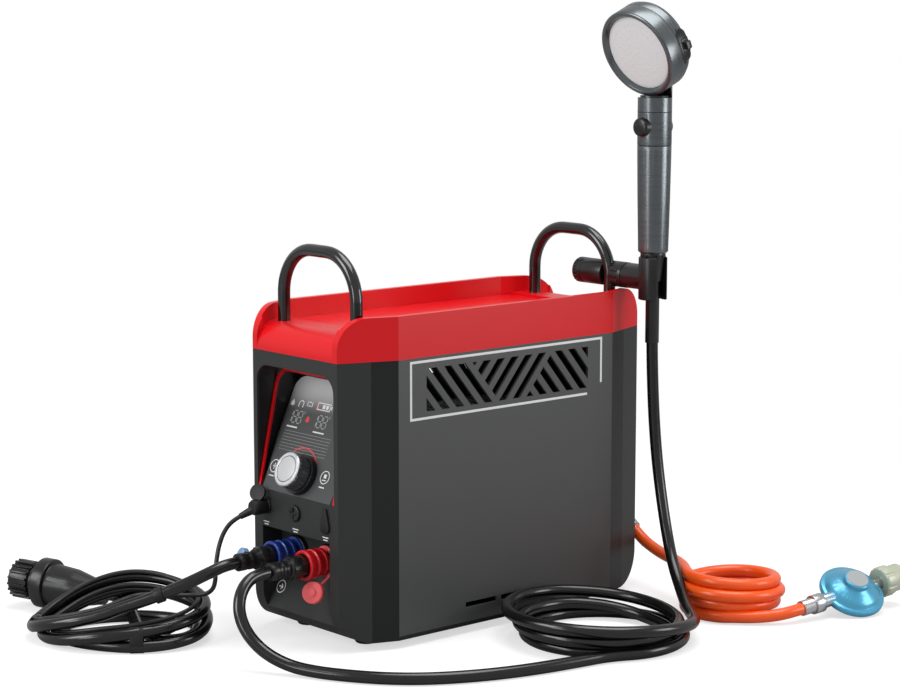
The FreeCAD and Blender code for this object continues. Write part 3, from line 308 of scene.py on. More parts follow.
def satin_brass():
    # Turned brass of the gas inlet and the pipes inside.
    return surface("Turned brass", linear("#c7a05a"), 0.3, 1.0, 0.02, swing=0.1, metal=1.0,
                   stretch=(12, 1, 12))


def brushed_gunmetal():
    # Gunmetal lacquer over fine turning marks that run round the grip.
    return surface("Brushed gunmetal", look().grip_grey, 0.28, 3.6, 0.0001, swing=0.1, metal=0.85,
                   stretch=(40, 40, 1), detail=0.0)


def turned_gunmetal():
    # The same lacquer on the head, turned about the head's own axis.
    return surface("Turned gunmetal", look().grip_grey, 0.28, 3.6, 0.0001, swing=0.1, metal=0.85,
                   stretch=(40, 40, 1), detail=0.0, turn=(HEAD_LEAN + math.pi / 2, 0, 0))


def white_silicone():
    # Pale silicone face plate of the spray head.
    return surface("Pale silicone plate", linear("#e2e9ea"), 0.5, 2.0, 0.02, swing=0.04)


def water_hose_pvc():
    # Extruded black PVC hose: satin with a lengthwise highlight.
    return surface("Extruded black PVC", look().hose_black, 0.2, 9.0, 0.03, swing=0.12, shine=0.6,
                   detail=0.0)


def cable_rubber():
    # Thin two-core lead, matt black.
    return surface("Black cable sheath", linear("#1d1d1e"), 0.45, 2.5, 0.02, swing=0.1)


def gas_hose_rubber():
    # Orange gas hose: satin rubber with a warm, even colour.
    return surface("Orange gas hose rubber", look().gas_orange, 0.32, 9.0, 0.04, swing=0.05, coat=0.15,
                   detail=0.0)


def blue_hammer():
    # Metallic blue enamel over a die-cast body: fine flake and a soft gloss.
    return surface("Metallic blue enamel", look().regulator_blue, 0.3, 0.9, 0.006, swing=0.16,
                   metal=0.45, coat=0.5)


def ivory_zinc():
    # Die-cast handwheel, pale olive ivory lacquer.
    return surface("Ivory lacquered zinc", linear("#b9bea9"), 0.38, 1.5, 0.03, swing=0.08, metal=0.2)


def mill_aluminium():
    # Mill-finish aluminium sheet of the parts inside.
    return surface("Mill aluminium", linear("#6d6f72"), 0.5, 2.0, 0.02, swing=0.1, metal=1.0,
                   stretch=(1, 14, 1))


def board_mask():
    # Green solder mask of the circuit board.
    return surface("Green solder mask", linear("#1c4a2c"), 0.4, 1.5, 0.01)


def shrink_wrap():
    # Blue heat-shrink sleeve of the battery pack.
    return surface("Blue heat shrink", linear("#22344f"), 0.35, 3.0, 0.03)


def white_ink():
    # Opaque white screen ink, with slightly uneven cover.
    return surface("White screen ink", linear("#e9eaea"), 0.5, 1.5, 0.004, swing=0.04)


def faint_ink():
    # Thin grey ink of the unlit display segments.
    return surface("Faint grey ink", linear("#a2a5a6"), 0.45, 1.5, 0.004, swing=0.08)


def red_ink():
    # Red screen ink of the temperature arc.
    return surface("Red screen ink", linear("#e6484c"), 0.45, 1.5, 0.004, swing=0.05)


# ---------------------------------------------------------------- modelling by hand
def alone(piece):
    """Makes a piece the only one that is selected, and the active one."""
    if bpy.context.object and bpy.context.object.mode != "OBJECT":
        bpy.ops.object.mode_set(mode="OBJECT")
    bpy.ops.object.select_all(action="DESELECT")
    piece.select_set(True)
    bpy.context.view_layer.objects.active = piece


def linked(name, data):
    """A new object that holds the data, in the scene."""
    made = bpy.data.objects.new(name, data)
    bpy.context.collection.objects.link(made)
    return made


def settle(piece):
    """Puts the piece's place, turn and scale into its mesh."""
    alone(piece)
    bpy.ops.object.transform_apply(location=True, rotation=True, scale=True)


def leave_edit():
    bpy.ops.object.mode_set(mode="OBJECT")


def on_top(centre, normal):
    """Passes the faces that look along the piece's own z."""
    return normal.z > FACING


def pick(piece, test):
    """Opens the piece in edit mode with the faces selected whose centre (mm) and normal pass the test."""
    alone(piece)
    bpy.ops.object.mode_set(mode="EDIT")
    bpy.ops.mesh.select_mode(type="FACE")
    bpy.ops.mesh.select_all(action="DESELECT")
    leave_edit()
    for face in piece.data.polygons:
        face.select = bool(test(face.center / MM, face.normal))
    bpy.ops.object.mode_set(mode="EDIT")


def started(name, primitive, **settings):
    """Adds a primitive under its name, with nothing else selected."""
    bpy.ops.object.select_all(action="DESELECT")
    primitive(**settings)
    bpy.context.object.name = name
    return bpy.context.object


def drawn_out(way):
    """Extrudes what is selected by a step in metres."""
    bpy.ops.mesh.extrude_region_move(TRANSFORM_OT_translate={"value": way})


def stand(across, out, spot):
    """The place of a piece whose own x runs along across and z along out, at a spot in mm."""
    place = Matrix((across, out.cross(across), out)).transposed().to_4x4()
    place.translation = Vector(spot) * MM
    return place


def finish_with(piece, kind, **settings):
    """Adds a modifier and applies it."""
    alone(piece)
    bpy.ops.object.modifier_add(type=kind)
    modifier = piece.modifiers[-1]
    for name, value in settings.items():
        setattr(modifier, name, value)
    bpy.ops.object.modifier_apply(modifier=modifier.name)


def soften(piece, width, segments=2):
    """Rounds the sharp edges of a piece by a width in mm."""
    finish_with(piece, "BEVEL", width=width * MM, segments=segments, limit_method="ANGLE",
                angle_limit=math.radians(SHARP_BEND))


def smooth(piece, bend=32):
    alone(piece)
    bpy.ops.object.shade_smooth_by_angle(angle=math.radians(bend))


def wear(piece, material, body):
    """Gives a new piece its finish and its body."""
    piece.data.materials.clear()
    piece.data.materials.append(material)
    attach(piece, body)
    return piece


def dressed(node, material, edge=0.5, bend=32, weighted=False):
    """A merged copy of a solid with softened edges, in its finish and in the solid's place."""
    source = frame["nodes"][node]
    piece = linked(node + "_finished", source.data.copy())
    alone(piece)
    if piece.data.has_custom_normals:
        bpy.ops.mesh.customdata_custom_splitnormals_clear()
    bpy.ops.object.mode_set(mode="EDIT")
    bpy.ops.mesh.select_all(action="SELECT")
    bpy.ops.mesh.remove_doubles(threshold=MERGE_GAP * MM)
    bpy.ops.mesh.dissolve_limited(angle_limit=math.radians(FLAT_BEND))
    leave_edit()
    if edge:
        finish_with(piece, "BEVEL", width=edge * MM, segments=2, limit_method="ANGLE",
                    angle_limit=math.radians(bend + 2), use_clamp_overlap=True)
    smooth(piece, bend)
    if weighted:
        finish_with(piece, "WEIGHTED_NORMAL", keep_sharp=True, weight=80)
    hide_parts(node)
    return wear(piece, material, source["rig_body"])


def paint(piece, material, test):
    """Gives a second finish to the faces whose centre (mm) and normal pass the test."""
    piece.data.materials.append(material)
    index = len(piece.data.materials) - 1
    for face in piece.data.polygons:
        if test(face.center / MM, face.normal):
            face.material_index = index


# ---------------------------------------------------------------- flat prints
def bar(x, y, width, height):
    a, b = width / 2, height / 2
    return [(x - a, y - b), (x + a, y - b), (x + a, y + b), (x - a, y + b)]


def arc(x, y, radius, first, last, steps=40):
    """Points of a round stretch between two angles in degrees."""
    angles = [math.radians(first + (last - first) * i / steps) for i in range(steps + 1)]
    return [(x + radius * math.cos(a), y + radius * math.sin(a)) for a in angles]


def circle(x, y, radius):
    return arc(x, y, radius, 0, 360)[:-1]


def corner(x, y, radius, first):
    """A quarter circle from the angle first, turning left."""
    return arc(x, y, radius, first, first + 90, 8)


def hoop(x, y, radius, width):
    return [circle(x, y, radius), circle(x, y, radius - width)]


def band(x, y, radius, width, first, last):
    """Part of a ring between two angles in degrees."""
    return arc(x, y, radius, first, last) + arc(x, y, radius - width, first, last)[::-1]


def line(x0, y0, x1, y1, width):
    """A straight stroke as a thin four-cornered outline."""
    way = Vector((x1 - x0, y1 - y0)).normalized() * width / 2
    start = [(x0 - way.y, y0 + way.x), (x0 + way.y, y0 - way.x)]
    return start + [(x1 + way.y, y1 - way.x), (x1 - way.y, y1 + way.x)]


def drop(x, y, size):
    """A water drop: round below and pointed above."""
    wide, tall = size * 0.75, size * 0.62
    angles = [2 * math.pi * i / 32 for i in range(32)]
    return [(x + wide * math.sin(a) * math.sin(a / 2) ** 1.5, y + tall * math.cos(a)) for a in angles]


SEGMENTS = {"1": "bc", "8": "abcdefg"}


def digit(sign, x, y, height):
    """The strokes of a seven-segment digit centred on x, y."""
    half, w = height / 4, height * 0.09
    gap = w * 0.8
    strokes = {
        "a": (x - half + gap, y + 2 * half, x + half - gap, y + 2 * half),
        "g": (x - half + gap, y, x + half - gap, y),
        "d": (x - half + gap, y - 2 * half, x + half - gap, y - 2 * half),
        "f": (x - half, y + 2 * half - gap, x - half, y + gap),
        "b": (x + half, y + 2 * half - gap, x + half, y + gap),
        "e": (x - half, y - gap, x - half, y - 2 * half + gap),
        "c": (x + half, y - gap, x + half, y - 2 * half + gap),
    }
    return [line(*strokes[s], w) for s in SEGMENTS[sign]]


def printed(name, outlines, base, across, rise, ink, thickness=INK):
    """Ink laid on the plane through base: closed outlines in mm along across and rise."""
    curve = bpy.data.curves.new(name, "CURVE")
    curve.dimensions = "2D"
    curve.fill_mode = "BOTH"
    curve.extrude = thickness / 2 * MM
    for outline in outlines:
        stroke = curve.splines.new("POLY")
        stroke.points.add(len(outline) - 1)
        for knot, (x, y) in zip(stroke.points, outline):
            knot.co = (x * MM, y * MM, 0, 1)
        stroke.use_cyclic_u = True
    piece = linked(name, curve)
    alone(piece)
    bpy.ops.object.convert(target="MESH")
    out = across.cross(rise)
    piece.matrix_world = stand(across, out, Vector(base) + out * thickness / 2)
    settle(piece)
    return wear(piece, ink, "housing")


# ---------------------------------------------------------------- cords
def keyed(keys, turn):
    """The values of a coil's keys at a turn, with straight steps between the keys."""
    for before, after in zip(keys, keys[1:]):
        if turn <= after[0] + 1e-9:
            break
    share = (turn - before[0]) / (after[0] - before[0])
    return [a + share * (b - a) for a, b in zip(before[1:], after[1:])]


def turns(centre, keys, start, sense=1, squeeze=0, aim=0, first=1, last=None, shrink=0, lift=0):
    """Points of a coil's turns. Each key is (turn, radius, height) or (turn, radius, height, shift)."""
    points = []
    last = keys[-1][0] if last is None else last
    for i in range(first, round(last * TURN_POINTS) + 1):
        turn = i / TURN_POINTS
        values = keyed(keys, turn)
        radius, height = values[0] - shrink, values[1] + lift
        shift = values[2] if len(values) > 2 else 0
        angle = start + sense * 2 * math.pi * turn
        x, y = radius * math.cos(angle) + shift, (radius - squeeze) * math.sin(angle)
        points.append((centre.x + x * math.cos(aim) - y * math.sin(aim),
                       centre.y + x * math.sin(aim) + y * math.cos(aim), height))
    return points


def by_hank(right, near, height):
    """A point by the inlet hank: to its right and nearer, seen from the grille's side, at a height."""
    return (HANK_CENTRE.x + right * math.cos(HANK_TURN) + near * math.sin(HANK_TURN),
            HANK_CENTRE.y + right * math.sin(HANK_TURN) - near * math.cos(HANK_TURN), height)


def route(name, points, radius):
    """A round tube along one NURBS spline with the route's points in mm as its control points."""
    curve = bpy.data.curves.new(name, "CURVE")
    curve.dimensions = "3D"
    spline = curve.splines.new("NURBS")
    spline.points.add(len(points) - 1)
    for knot, point in zip(spline.points, points):
        knot.co = (point[0] * MM, point[1] * MM, point[2] * MM, 1)
    spline.order_u = 3
    spline.use_endpoint_u = True
    curve.resolution_u = 10
    curve.bevel_depth = radius
    curve.bevel_resolution = 6
    curve.use_fill_caps = True
    return linked(name, curve)


def followed(name, points):
    """Points read from the route's own spline, in metres."""
    bare = route(name + "_line", points, 0)
    mesh = bpy.data.meshes.new_from_object(bare)
    read = [v.co.copy() for v in mesh.vertices]
    bpy.data.meshes.remove(mesh)
    bpy.data.objects.remove(bare)
    return read


def nearest(read, place):
    """The point of a route next to a place in mm, and the route's direction there."""
    i = min(range(1, len(read) - 1), key=lambda k: (read[k] - Vector(place) * MM).length)
    return read[i], (read[i + 1] - read[i - 1]).normalized()


def strap(name, first, second, way, radii, width, material):
    """A thin oval band, width mm wide, round two cords beside each other; their places are in metres."""
    apart = second - first
    apart -= way * apart.dot(way)
    across = apart.normalized()
    long_half = (apart.length + sum(radii)) / 2
    centre = first + across * (apart.length + radii[1] - radii[0]) / 2
    piece = started(name, bpy.ops.mesh.primitive_cylinder_add, vertices=40, radius=1, depth=width * MM,
                    end_fill_type="NOTHING")
    piece.scale = (long_half, max(radii), 1)
    settle(piece)
    finish_with(piece, "SOLIDIFY", thickness=BAND_THICKNESS * MM, offset=1, use_even_offset=True)
    soften(piece, 0.25)
    piece.matrix_world = stand(across, way, centre / MM)
    settle(piece)
    smooth(piece)
    return wear(piece, material, "housing")


# ---------------------------------------------------------------- settings
def length(name, default, low, high, description, unit=MM):
    """A length for the sidebar, with its values in mm unless another unit is given."""
    return FloatProperty(
        name=name, description=description, default=default * unit, min=low * unit, max=high * unit,
        unit="LENGTH", subtype="DISTANCE")


def tint(name, code, description):
    return FloatVectorProperty(
        name=name, description=description, default=linear(code), size=3, min=0, max=1, subtype="COLOR")


class HeaterSizes(bpy.types.PropertyGroup):
    edge: length("Edge softness", 0.6, 0, 2, "Width of the softened edges of moulded parts")
    water_hose: length("Water hose radius", 5.8, 4, 8, "Outer radius of the shower and inlet hoses")
    cable: length("Pump cable radius", 2.2, 1, 4, "Outer radius of the cable to the pump")
    gas_hose: length("Gas hose radius", 6.0, 4, 8, "Outer radius of the orange gas hose")
    floor: length("Floor size", 14, 2, 40, "Length of the square floor's side", 1)


class HeaterLook(bpy.types.PropertyGroup):
    cover_red: tint("Cover red", "#de0c16", "Colour of the top cover and the recess trim")
    panel_grey: tint("Side panel grey", "#474849", "Colour of the side sheets")
    frame_black: tint("Frame black", "#18191a", "Colour of the pressed side frames")
    shell_grey: tint("Shell grey", "#282a29", "Colour of the end shells")
    sheet_grey: tint("Control sheet grey", "#505152", "Colour of the control panel's sheet")
    inlet_blue: tint("Inlet blue", "#1c3a8f", "Colour of the cold water coupling")
    outlet_red: tint("Outlet red", "#d21a22", "Colour of the hot water coupling")
    hose_black: tint("Water hose black", "#060607", "Colour of both water hoses")
    gas_orange: tint("Gas hose orange", "#fa5a12", "Colour of the gas hose")
    regulator_blue: tint("Regulator blue", "#4aa2c6", "Colour of the gas regulator")
    grip_grey: tint("Grip gunmetal", "#6b7073", "Colour of the hand shower")


# ---------------------------------------------------------------- the case
class HEATER_OT_case(bpy.types.Operator):
    """Finish the end shells, side frames, side sheets, feet and screws"""
    bl_idname = "heater.case"
    bl_label = "Case"

    def execute(self, context):
        edge = context.scene.heater_sizes.edge / MM
        for node in ("front_shell", "rear_shell"):
            dressed(node, textured_abs(), edge, SHELL_BEND, True)
        for node in ("side_frame_left", "side_frame_right"):
            dressed(node, black_powder(), edge, SHELL_BEND, True)
        for node in ("side_panel_left", "side_panel_right"):
            dressed(node, charcoal_powder(), 0.3, SHELL_BEND, True)
        dressed("base_pan", charcoal_powder(), 0.4)
        dressed("rubber_feet", black_rubber(), 0.6)
        dressed("case_screws", nickel_steel(), 0.2)
        self.grille_lines()
        return {"FINISHED"}

    def grille_lines(self):
        """White pin-stripe frame round the slanted slots."""
        left, right, low, top, wide = -124, 123, 217, 271, 2.4
        low_end, drop_end, half = 104, 226.5, wide / 2
        strokes = [
            line(left, low - half, left, top + half, wide), line(left + half, top, right + half, top, wide),
            line(left + half, low, low_end, low, wide), line(right, top - half, right, drop_end, wide),
        ]
        printed("grille_lines", strokes, (SIDE_FACE, 0, 0), ALONG_Y, ALONG_Z, white_ink())


class HEATER_OT_cover(bpy.types.Operator):
    """Finish the red top cover and the two bent tube handles"""
    bl_idname = "heater.cover"
    bl_label = "Cover and handles"

    HANDLE_Y = 164
    HANDLE_HALF = 55.5
    HANDLE_FOOT = 266
    HANDLE_TOP = 371.5
    HANDLE_RADIUS = 6
    HANDLE_BEND = 44

    def execute(self, context):
        dressed("top_cover", red_abs(), 1.0, SHELL_BEND, True)
        self.handle("front_handle", -self.HANDLE_Y)
        self.handle("rear_handle", self.HANDLE_Y)
        return {"FINISHED"}

    def handle(self, node, y):
        """A tube drawn up from its foot, over two wide bends and down again."""
        half, bend, bend_level = self.HANDLE_HALF, self.HANDLE_BEND, self.HANDLE_TOP - self.HANDLE_BEND
        rise = (bend_level - self.HANDLE_FOOT) * MM
        piece = started(node + "_bent", bpy.ops.mesh.primitive_circle_add, vertices=28,
                        radius=self.HANDLE_RADIUS * MM, location=Vector((-half, y, self.HANDLE_FOOT)) * MM)
        settle(piece)
        bpy.ops.object.mode_set(mode="EDIT")
        bpy.ops.mesh.select_all(action="SELECT")
        drawn_out((0, 0, rise))
        self.bend(bend - half, y, bend_level)
        drawn_out((2 * (half - bend) * MM, 0, 0))
        self.bend(half - bend, y, bend_level)
        drawn_out((0, 0, -rise))
        bpy.ops.mesh.select_all(action="SELECT")
        bpy.ops.mesh.remove_doubles(threshold=0.01 * MM)
        bpy.ops.mesh.fill_holes(sides=0)
        bpy.ops.mesh.normals_make_consistent(inside=False)
        leave_edit()
        smooth(piece, SHARP_BEND)
        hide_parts(node)
        wear(piece, gloss_black_paint(), "housing")

    def bend(self, x, y, z):
        """Spins the tube's end a quarter turn about a point; spin counts its angle the other way."""
        bpy.ops.mesh.spin(steps=12, angle=-math.pi / 2, axis=(0, 1, 0), center=(x * MM, y * MM, z * MM))


# ---------------------------------------------------------------- the controls
class HEATER_OT_controls(bpy.types.Operator):
    """Finish the recess, its sheet and trim, the knob, and print the display"""
    bl_idname = "heater.controls"
    bl_label = "Controls"

    CAP_FACE = 0.85
    SHEET_FOOT = 1.5
    SHEET_FOOT_HALF = 52
    SHEET_TOP_HALF = 58.5
    SHEET_SHOULDER = (57.5, 55)
    SHEET_BEND = 14
    TRIM_HALF = 59
    TRIM_FOOT = 2
    TRIM_TOP = 119
    TRIM_WIDTH = 3
    TRIM_DEPTH = 2
    TRIM_BEND = 17

    ICON_ROW = 90.5
    ARCH = (-39, 88)
    FRAME_X = -26
    BATTERY_X = -4.4
    CELL_STEP = 5.2
    DIGIT_ROW = 75.8
    DIGIT_HEIGHT = 12
    DIGIT_STEPS = (("1", -8.6), ("8", -1.6), ("8", 6.2))
    LEFT_DIGITS = -40.6
    RIGHT_DIGITS = -2.1
    LEFT_RING = (-45.8, 24.8)
    RIGHT_RING = (32.1, 25.3)
    RULE_ROW = 42.5
    RULE_STEP = 3.1

    def execute(self, context):
        dressed("recess_liner", dark_abs(), 0.3)
        dressed("control_panel", dark_abs(), 0.4, SHELL_BEND)
        dressed("display_window", dark_abs(), 0)
        self.sheet()
        self.trim()
        knob = dressed("control_knob", knob_metal(), 0.3)
        hub = PANEL_FOOT + PANEL_UP * KNOB_UP
        paint(knob, turned_ring(), lambda c, n: (c - hub).dot(PANEL_OUT) > KNOB_HEIGHT - RING_DEPTH)
        cap = dressed("knob_cap", silver_trim(), 0.4)
        paint(cap, dark_abs(), lambda c, n: n.dot(PANEL_OUT) < self.CAP_FACE)
        place = (PANEL_FOOT + PANEL_OUT * SHEET_THICKNESS, ALONG_X, PANEL_UP)
        printed("panel_marks", self.icons() + self.rings(), *place, white_ink())
        printed("unlit_segments", self.segments(), *place, faint_ink())
        red = [band(-9.7, 21.3, 27.6, 1.5, 14, 124), drop(-22, 76, 5.4), bar(-11.5, self.ICON_ROW, 1.4, 4.6)]
        printed("heat_marks", red, *place, red_ink())
        return {"FINISHED"}

    def sheet(self):
        """The printed sheet with two round top corners and a hole for the knob's skirt."""
        foot, bend = self.SHEET_FOOT, self.SHEET_BEND
        side, shoulder = self.SHEET_SHOULDER
        x, y = self.SHEET_TOP_HALF - bend, SHEET_TOP - bend
        outline = [(-self.SHEET_FOOT_HALF, foot), (self.SHEET_FOOT_HALF, foot), (side, shoulder)]
        outline += [*corner(x, y, bend, 0), *corner(-x, y, bend, 90), (-side, shoulder)]
        printed("control_sheet", [outline, circle(0, KNOB_UP, SKIRT_RADIUS)], PANEL_FOOT, ALONG_X,
                PANEL_UP, graphite_sheet(), SHEET_THICKNESS)

    def trim(self):
        """The red strip that runs round the sheet in an arch, standing more upright than the sheet."""
        half, foot, bend = self.TRIM_HALF, self.TRIM_FOOT, self.TRIM_BEND
        x, y = half - bend, self.TRIM_TOP - bend
        low, tight = half - self.TRIM_WIDTH, bend - self.TRIM_WIDTH
        outer = [(half, foot), *corner(x, y, bend, 0), *corner(-x, y, bend, 90), (-half, foot)]
        inner = [(low, foot), *corner(x, y, tight, 0), *corner(-x, y, tight, 90), (-low, foot)]
        out = Vector((0, -math.cos(TRIM_LEAN), math.sin(TRIM_LEAN)))
        rise = Vector((0, math.sin(TRIM_LEAN), math.cos(TRIM_LEAN)))
        piece = printed("trim_arch", [outer + inner[::-1]], PANEL_FOOT - out * self.TRIM_DEPTH, ALONG_X,
                        rise, red_abs(), self.TRIM_DEPTH)
        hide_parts("panel_trim")

    def icons(self):
        """The row of signs over the digits: a drop, an arch on posts, an open frame and a battery."""
        row, frame, battery = self.ICON_ROW, self.FRAME_X, self.BATTERY_X
        arch, post = self.ARCH
        signs = [drop(-52.2, row - 1, 5.6), band(arch, post + 0.6, 4.2, 1.0, 20, 160)]
        signs += [bar(arch + side, post, 1.0, 4.4) for side in (-3.2, 3.2)]
        signs += [bar(frame + side, row, 1, 5) for side in (-3.5, 3.5)]
        signs += [bar(frame, row + side, 3, 1) for side in (1.9, -1.9)]
        signs += [bar(battery, row, 20, 7.6), bar(battery, row, 18, 5.6), bar(battery + 11.6, row, 1.6, 3.4)]
        signs += [bar(battery + self.CELL_STEP * i, row, 3.8, 4.0) for i in (0, 1)]
        return signs

    def rings(self):
        """The lines under the digits, and the two ringed marks beside the knob with their labels."""
        (left, low), (right, high) = self.LEFT_RING, self.RIGHT_RING
        marks = [bar(-41.4, 65.5, 16, 1.4), bar(0.2, 65.1, 17, 1.4)]
        marks += hoop(left, low, 6.6, 0.9) + hoop(right, high, 6.6, 0.9)
        marks += [bar(left, low, 1.1, 6), bar(left, low, 5, 1.1)]
        marks += [bar(right, high + 1.1, 3.8, 3.8), bar(right, high - 2.9, 5.2, 1.0)]
        return marks + [bar(left, low - 9.8, 8, 1.1), bar(right, high - 9.9, 8, 1.1)]

    def segments(self):
        """The unlit digits with their degree rings, and the fine ruled lines under them."""
        strokes = []
        for centre in (self.LEFT_DIGITS, self.RIGHT_DIGITS):
            for sign, step in self.DIGIT_STEPS:
                strokes += digit(sign, centre + step, self.DIGIT_ROW, self.DIGIT_HEIGHT)
            strokes += hoop(centre + 11.6, self.DIGIT_ROW + 5.6, 1.3, 0.4)
        return strokes + [bar(-14, self.RULE_ROW + self.RULE_STEP * i, 72, 0.35) for i in range(7)]


class HEATER_OT_ports(bpy.types.Operator):
    """Finish the socket, plug, fuse cap, flap, water couplings and dust caps"""
    bl_idname = "heater.ports"
    bl_label = "Ports and couplings"

    STRAP_END = -46
    LABEL_X = 46
    LABELS = ((15.5, 9), (18, 6.5))
    CAP_PLACE = Vector((-48.0, -203.5, 138.0))
    CAP_OUT = Vector((0.35, -0.88, 0.32)).normalized()
    CAP_RADIUS = 8.2
    CAP_THICKNESS = 2.8
    CAP_WALL = 1.6
    CAP_HOLLOW = 0.5
    TONGUE = 5

    def execute(self, context):
        for node in ("dc_socket", "fuse_cap"):
            dressed(node, dark_abs(), 0.3)
        for node in ("dc_plug", "charge_flap"):
            dressed(node, black_rubber(), 0.4)
        for node in ("port_fittings", "hose_plugs"):
            dressed(node, dark_abs(), 0.3)
        dressed("inlet_sleeve", blue_coupling(), 0.3)
        dressed("outlet_sleeve", red_coupling(), 0.3)
        caps = dressed("dust_caps", red_rubber(), 0.4)
        paint(caps, blue_coupling(), lambda c, n: self.STRAP_END < c.x < 0)
        paint(caps, pale_blue_rubber(), lambda c, n: c.x <= self.STRAP_END)
        self.socket_cap()
        marks = []
        for x in (-self.LABEL_X, 0, self.LABEL_X):
            marks += [bar(x, PORT_LEVEL - under, length, 1.0) for under, length in self.LABELS]
        printed("port_marks", marks, (0, FRONT, 0), ALONG_X, ALONG_Z, white_ink())
        slope = Vector((0, math.cos(CHUTE_SLOPE), math.sin(CHUTE_SLOPE)))
        arrow = hoop(0, 0, 6.5, 0.9) + [line(-3, 0, 2.5, 0, 1.1)]
        arrow += [line(0, side, 3, 0, 1.1) for side in (2.6, -2.6)]
        printed("chute_mark", arrow, CHUTE_MARK, ALONG_X, slope, white_ink())
        return {"FINISHED"}

    def socket_cap(self):
        """The rubber cap of the power socket, tipped up on its tongue above the plug."""
        piece = started("socket_cap", bpy.ops.mesh.primitive_cylinder_add, vertices=40,
                        radius=self.CAP_RADIUS * MM, depth=self.CAP_THICKNESS * MM)
        pick(piece, lambda c, n: n.y < -SIDE_FACING)
        drawn_out((0, -self.TONGUE * MM, 0))
        leave_edit()
        pick(piece, on_top)
        bpy.ops.mesh.inset(thickness=self.CAP_WALL * MM)
        bpy.ops.transform.translate(value=(0, 0, -self.CAP_HOLLOW * MM))
        leave_edit()
        soften(piece, 0.5, 3)
        piece.matrix_world = stand(ALONG_Z.cross(self.CAP_OUT).normalized(), self.CAP_OUT, self.CAP_PLACE)
        settle(piece)
        smooth(piece)
        wear(piece, black_rubber(), "housing")


# ---------------------------------------------------------------- inside
class HEATER_OT_inside(bpy.types.Operator):
    """Finish the parts inside the case"""
    bl_idname = "heater.inside"
    bl_label = "Inside"

    def execute(self, context):
        for node in ("heat_exchanger", "combustion_chamber", "gas_valve"):
            dressed(node, mill_aluminium(), 0.4)
        dressed("burner", nickel_steel(), 0.3)
        dressed("water_pipes", satin_brass(), 0)
        dressed("gas_inlet", satin_brass(), 0.2)
        dressed("control_board", board_mask(), 0.2)
        dressed("battery_pack", shrink_wrap(), 2.5)
        return {"FINISHED"}


# ---------------------------------------------------------------- holder and hand shower
class HEATER_OT_holder(bpy.types.Operator):
    """Finish the shower holder that clamps on the rear handle"""
    bl_idname = "heater.holder"
    bl_label = "Shower holder"

    def execute(self, context):
        for node in ("clamp_body", "clamp_knob", "holder_cradle"):
            dressed(node, dark_abs(), 0.4)
        dressed("clamp_screw", nickel_steel(), 0.2)
        return {"FINISHED"}


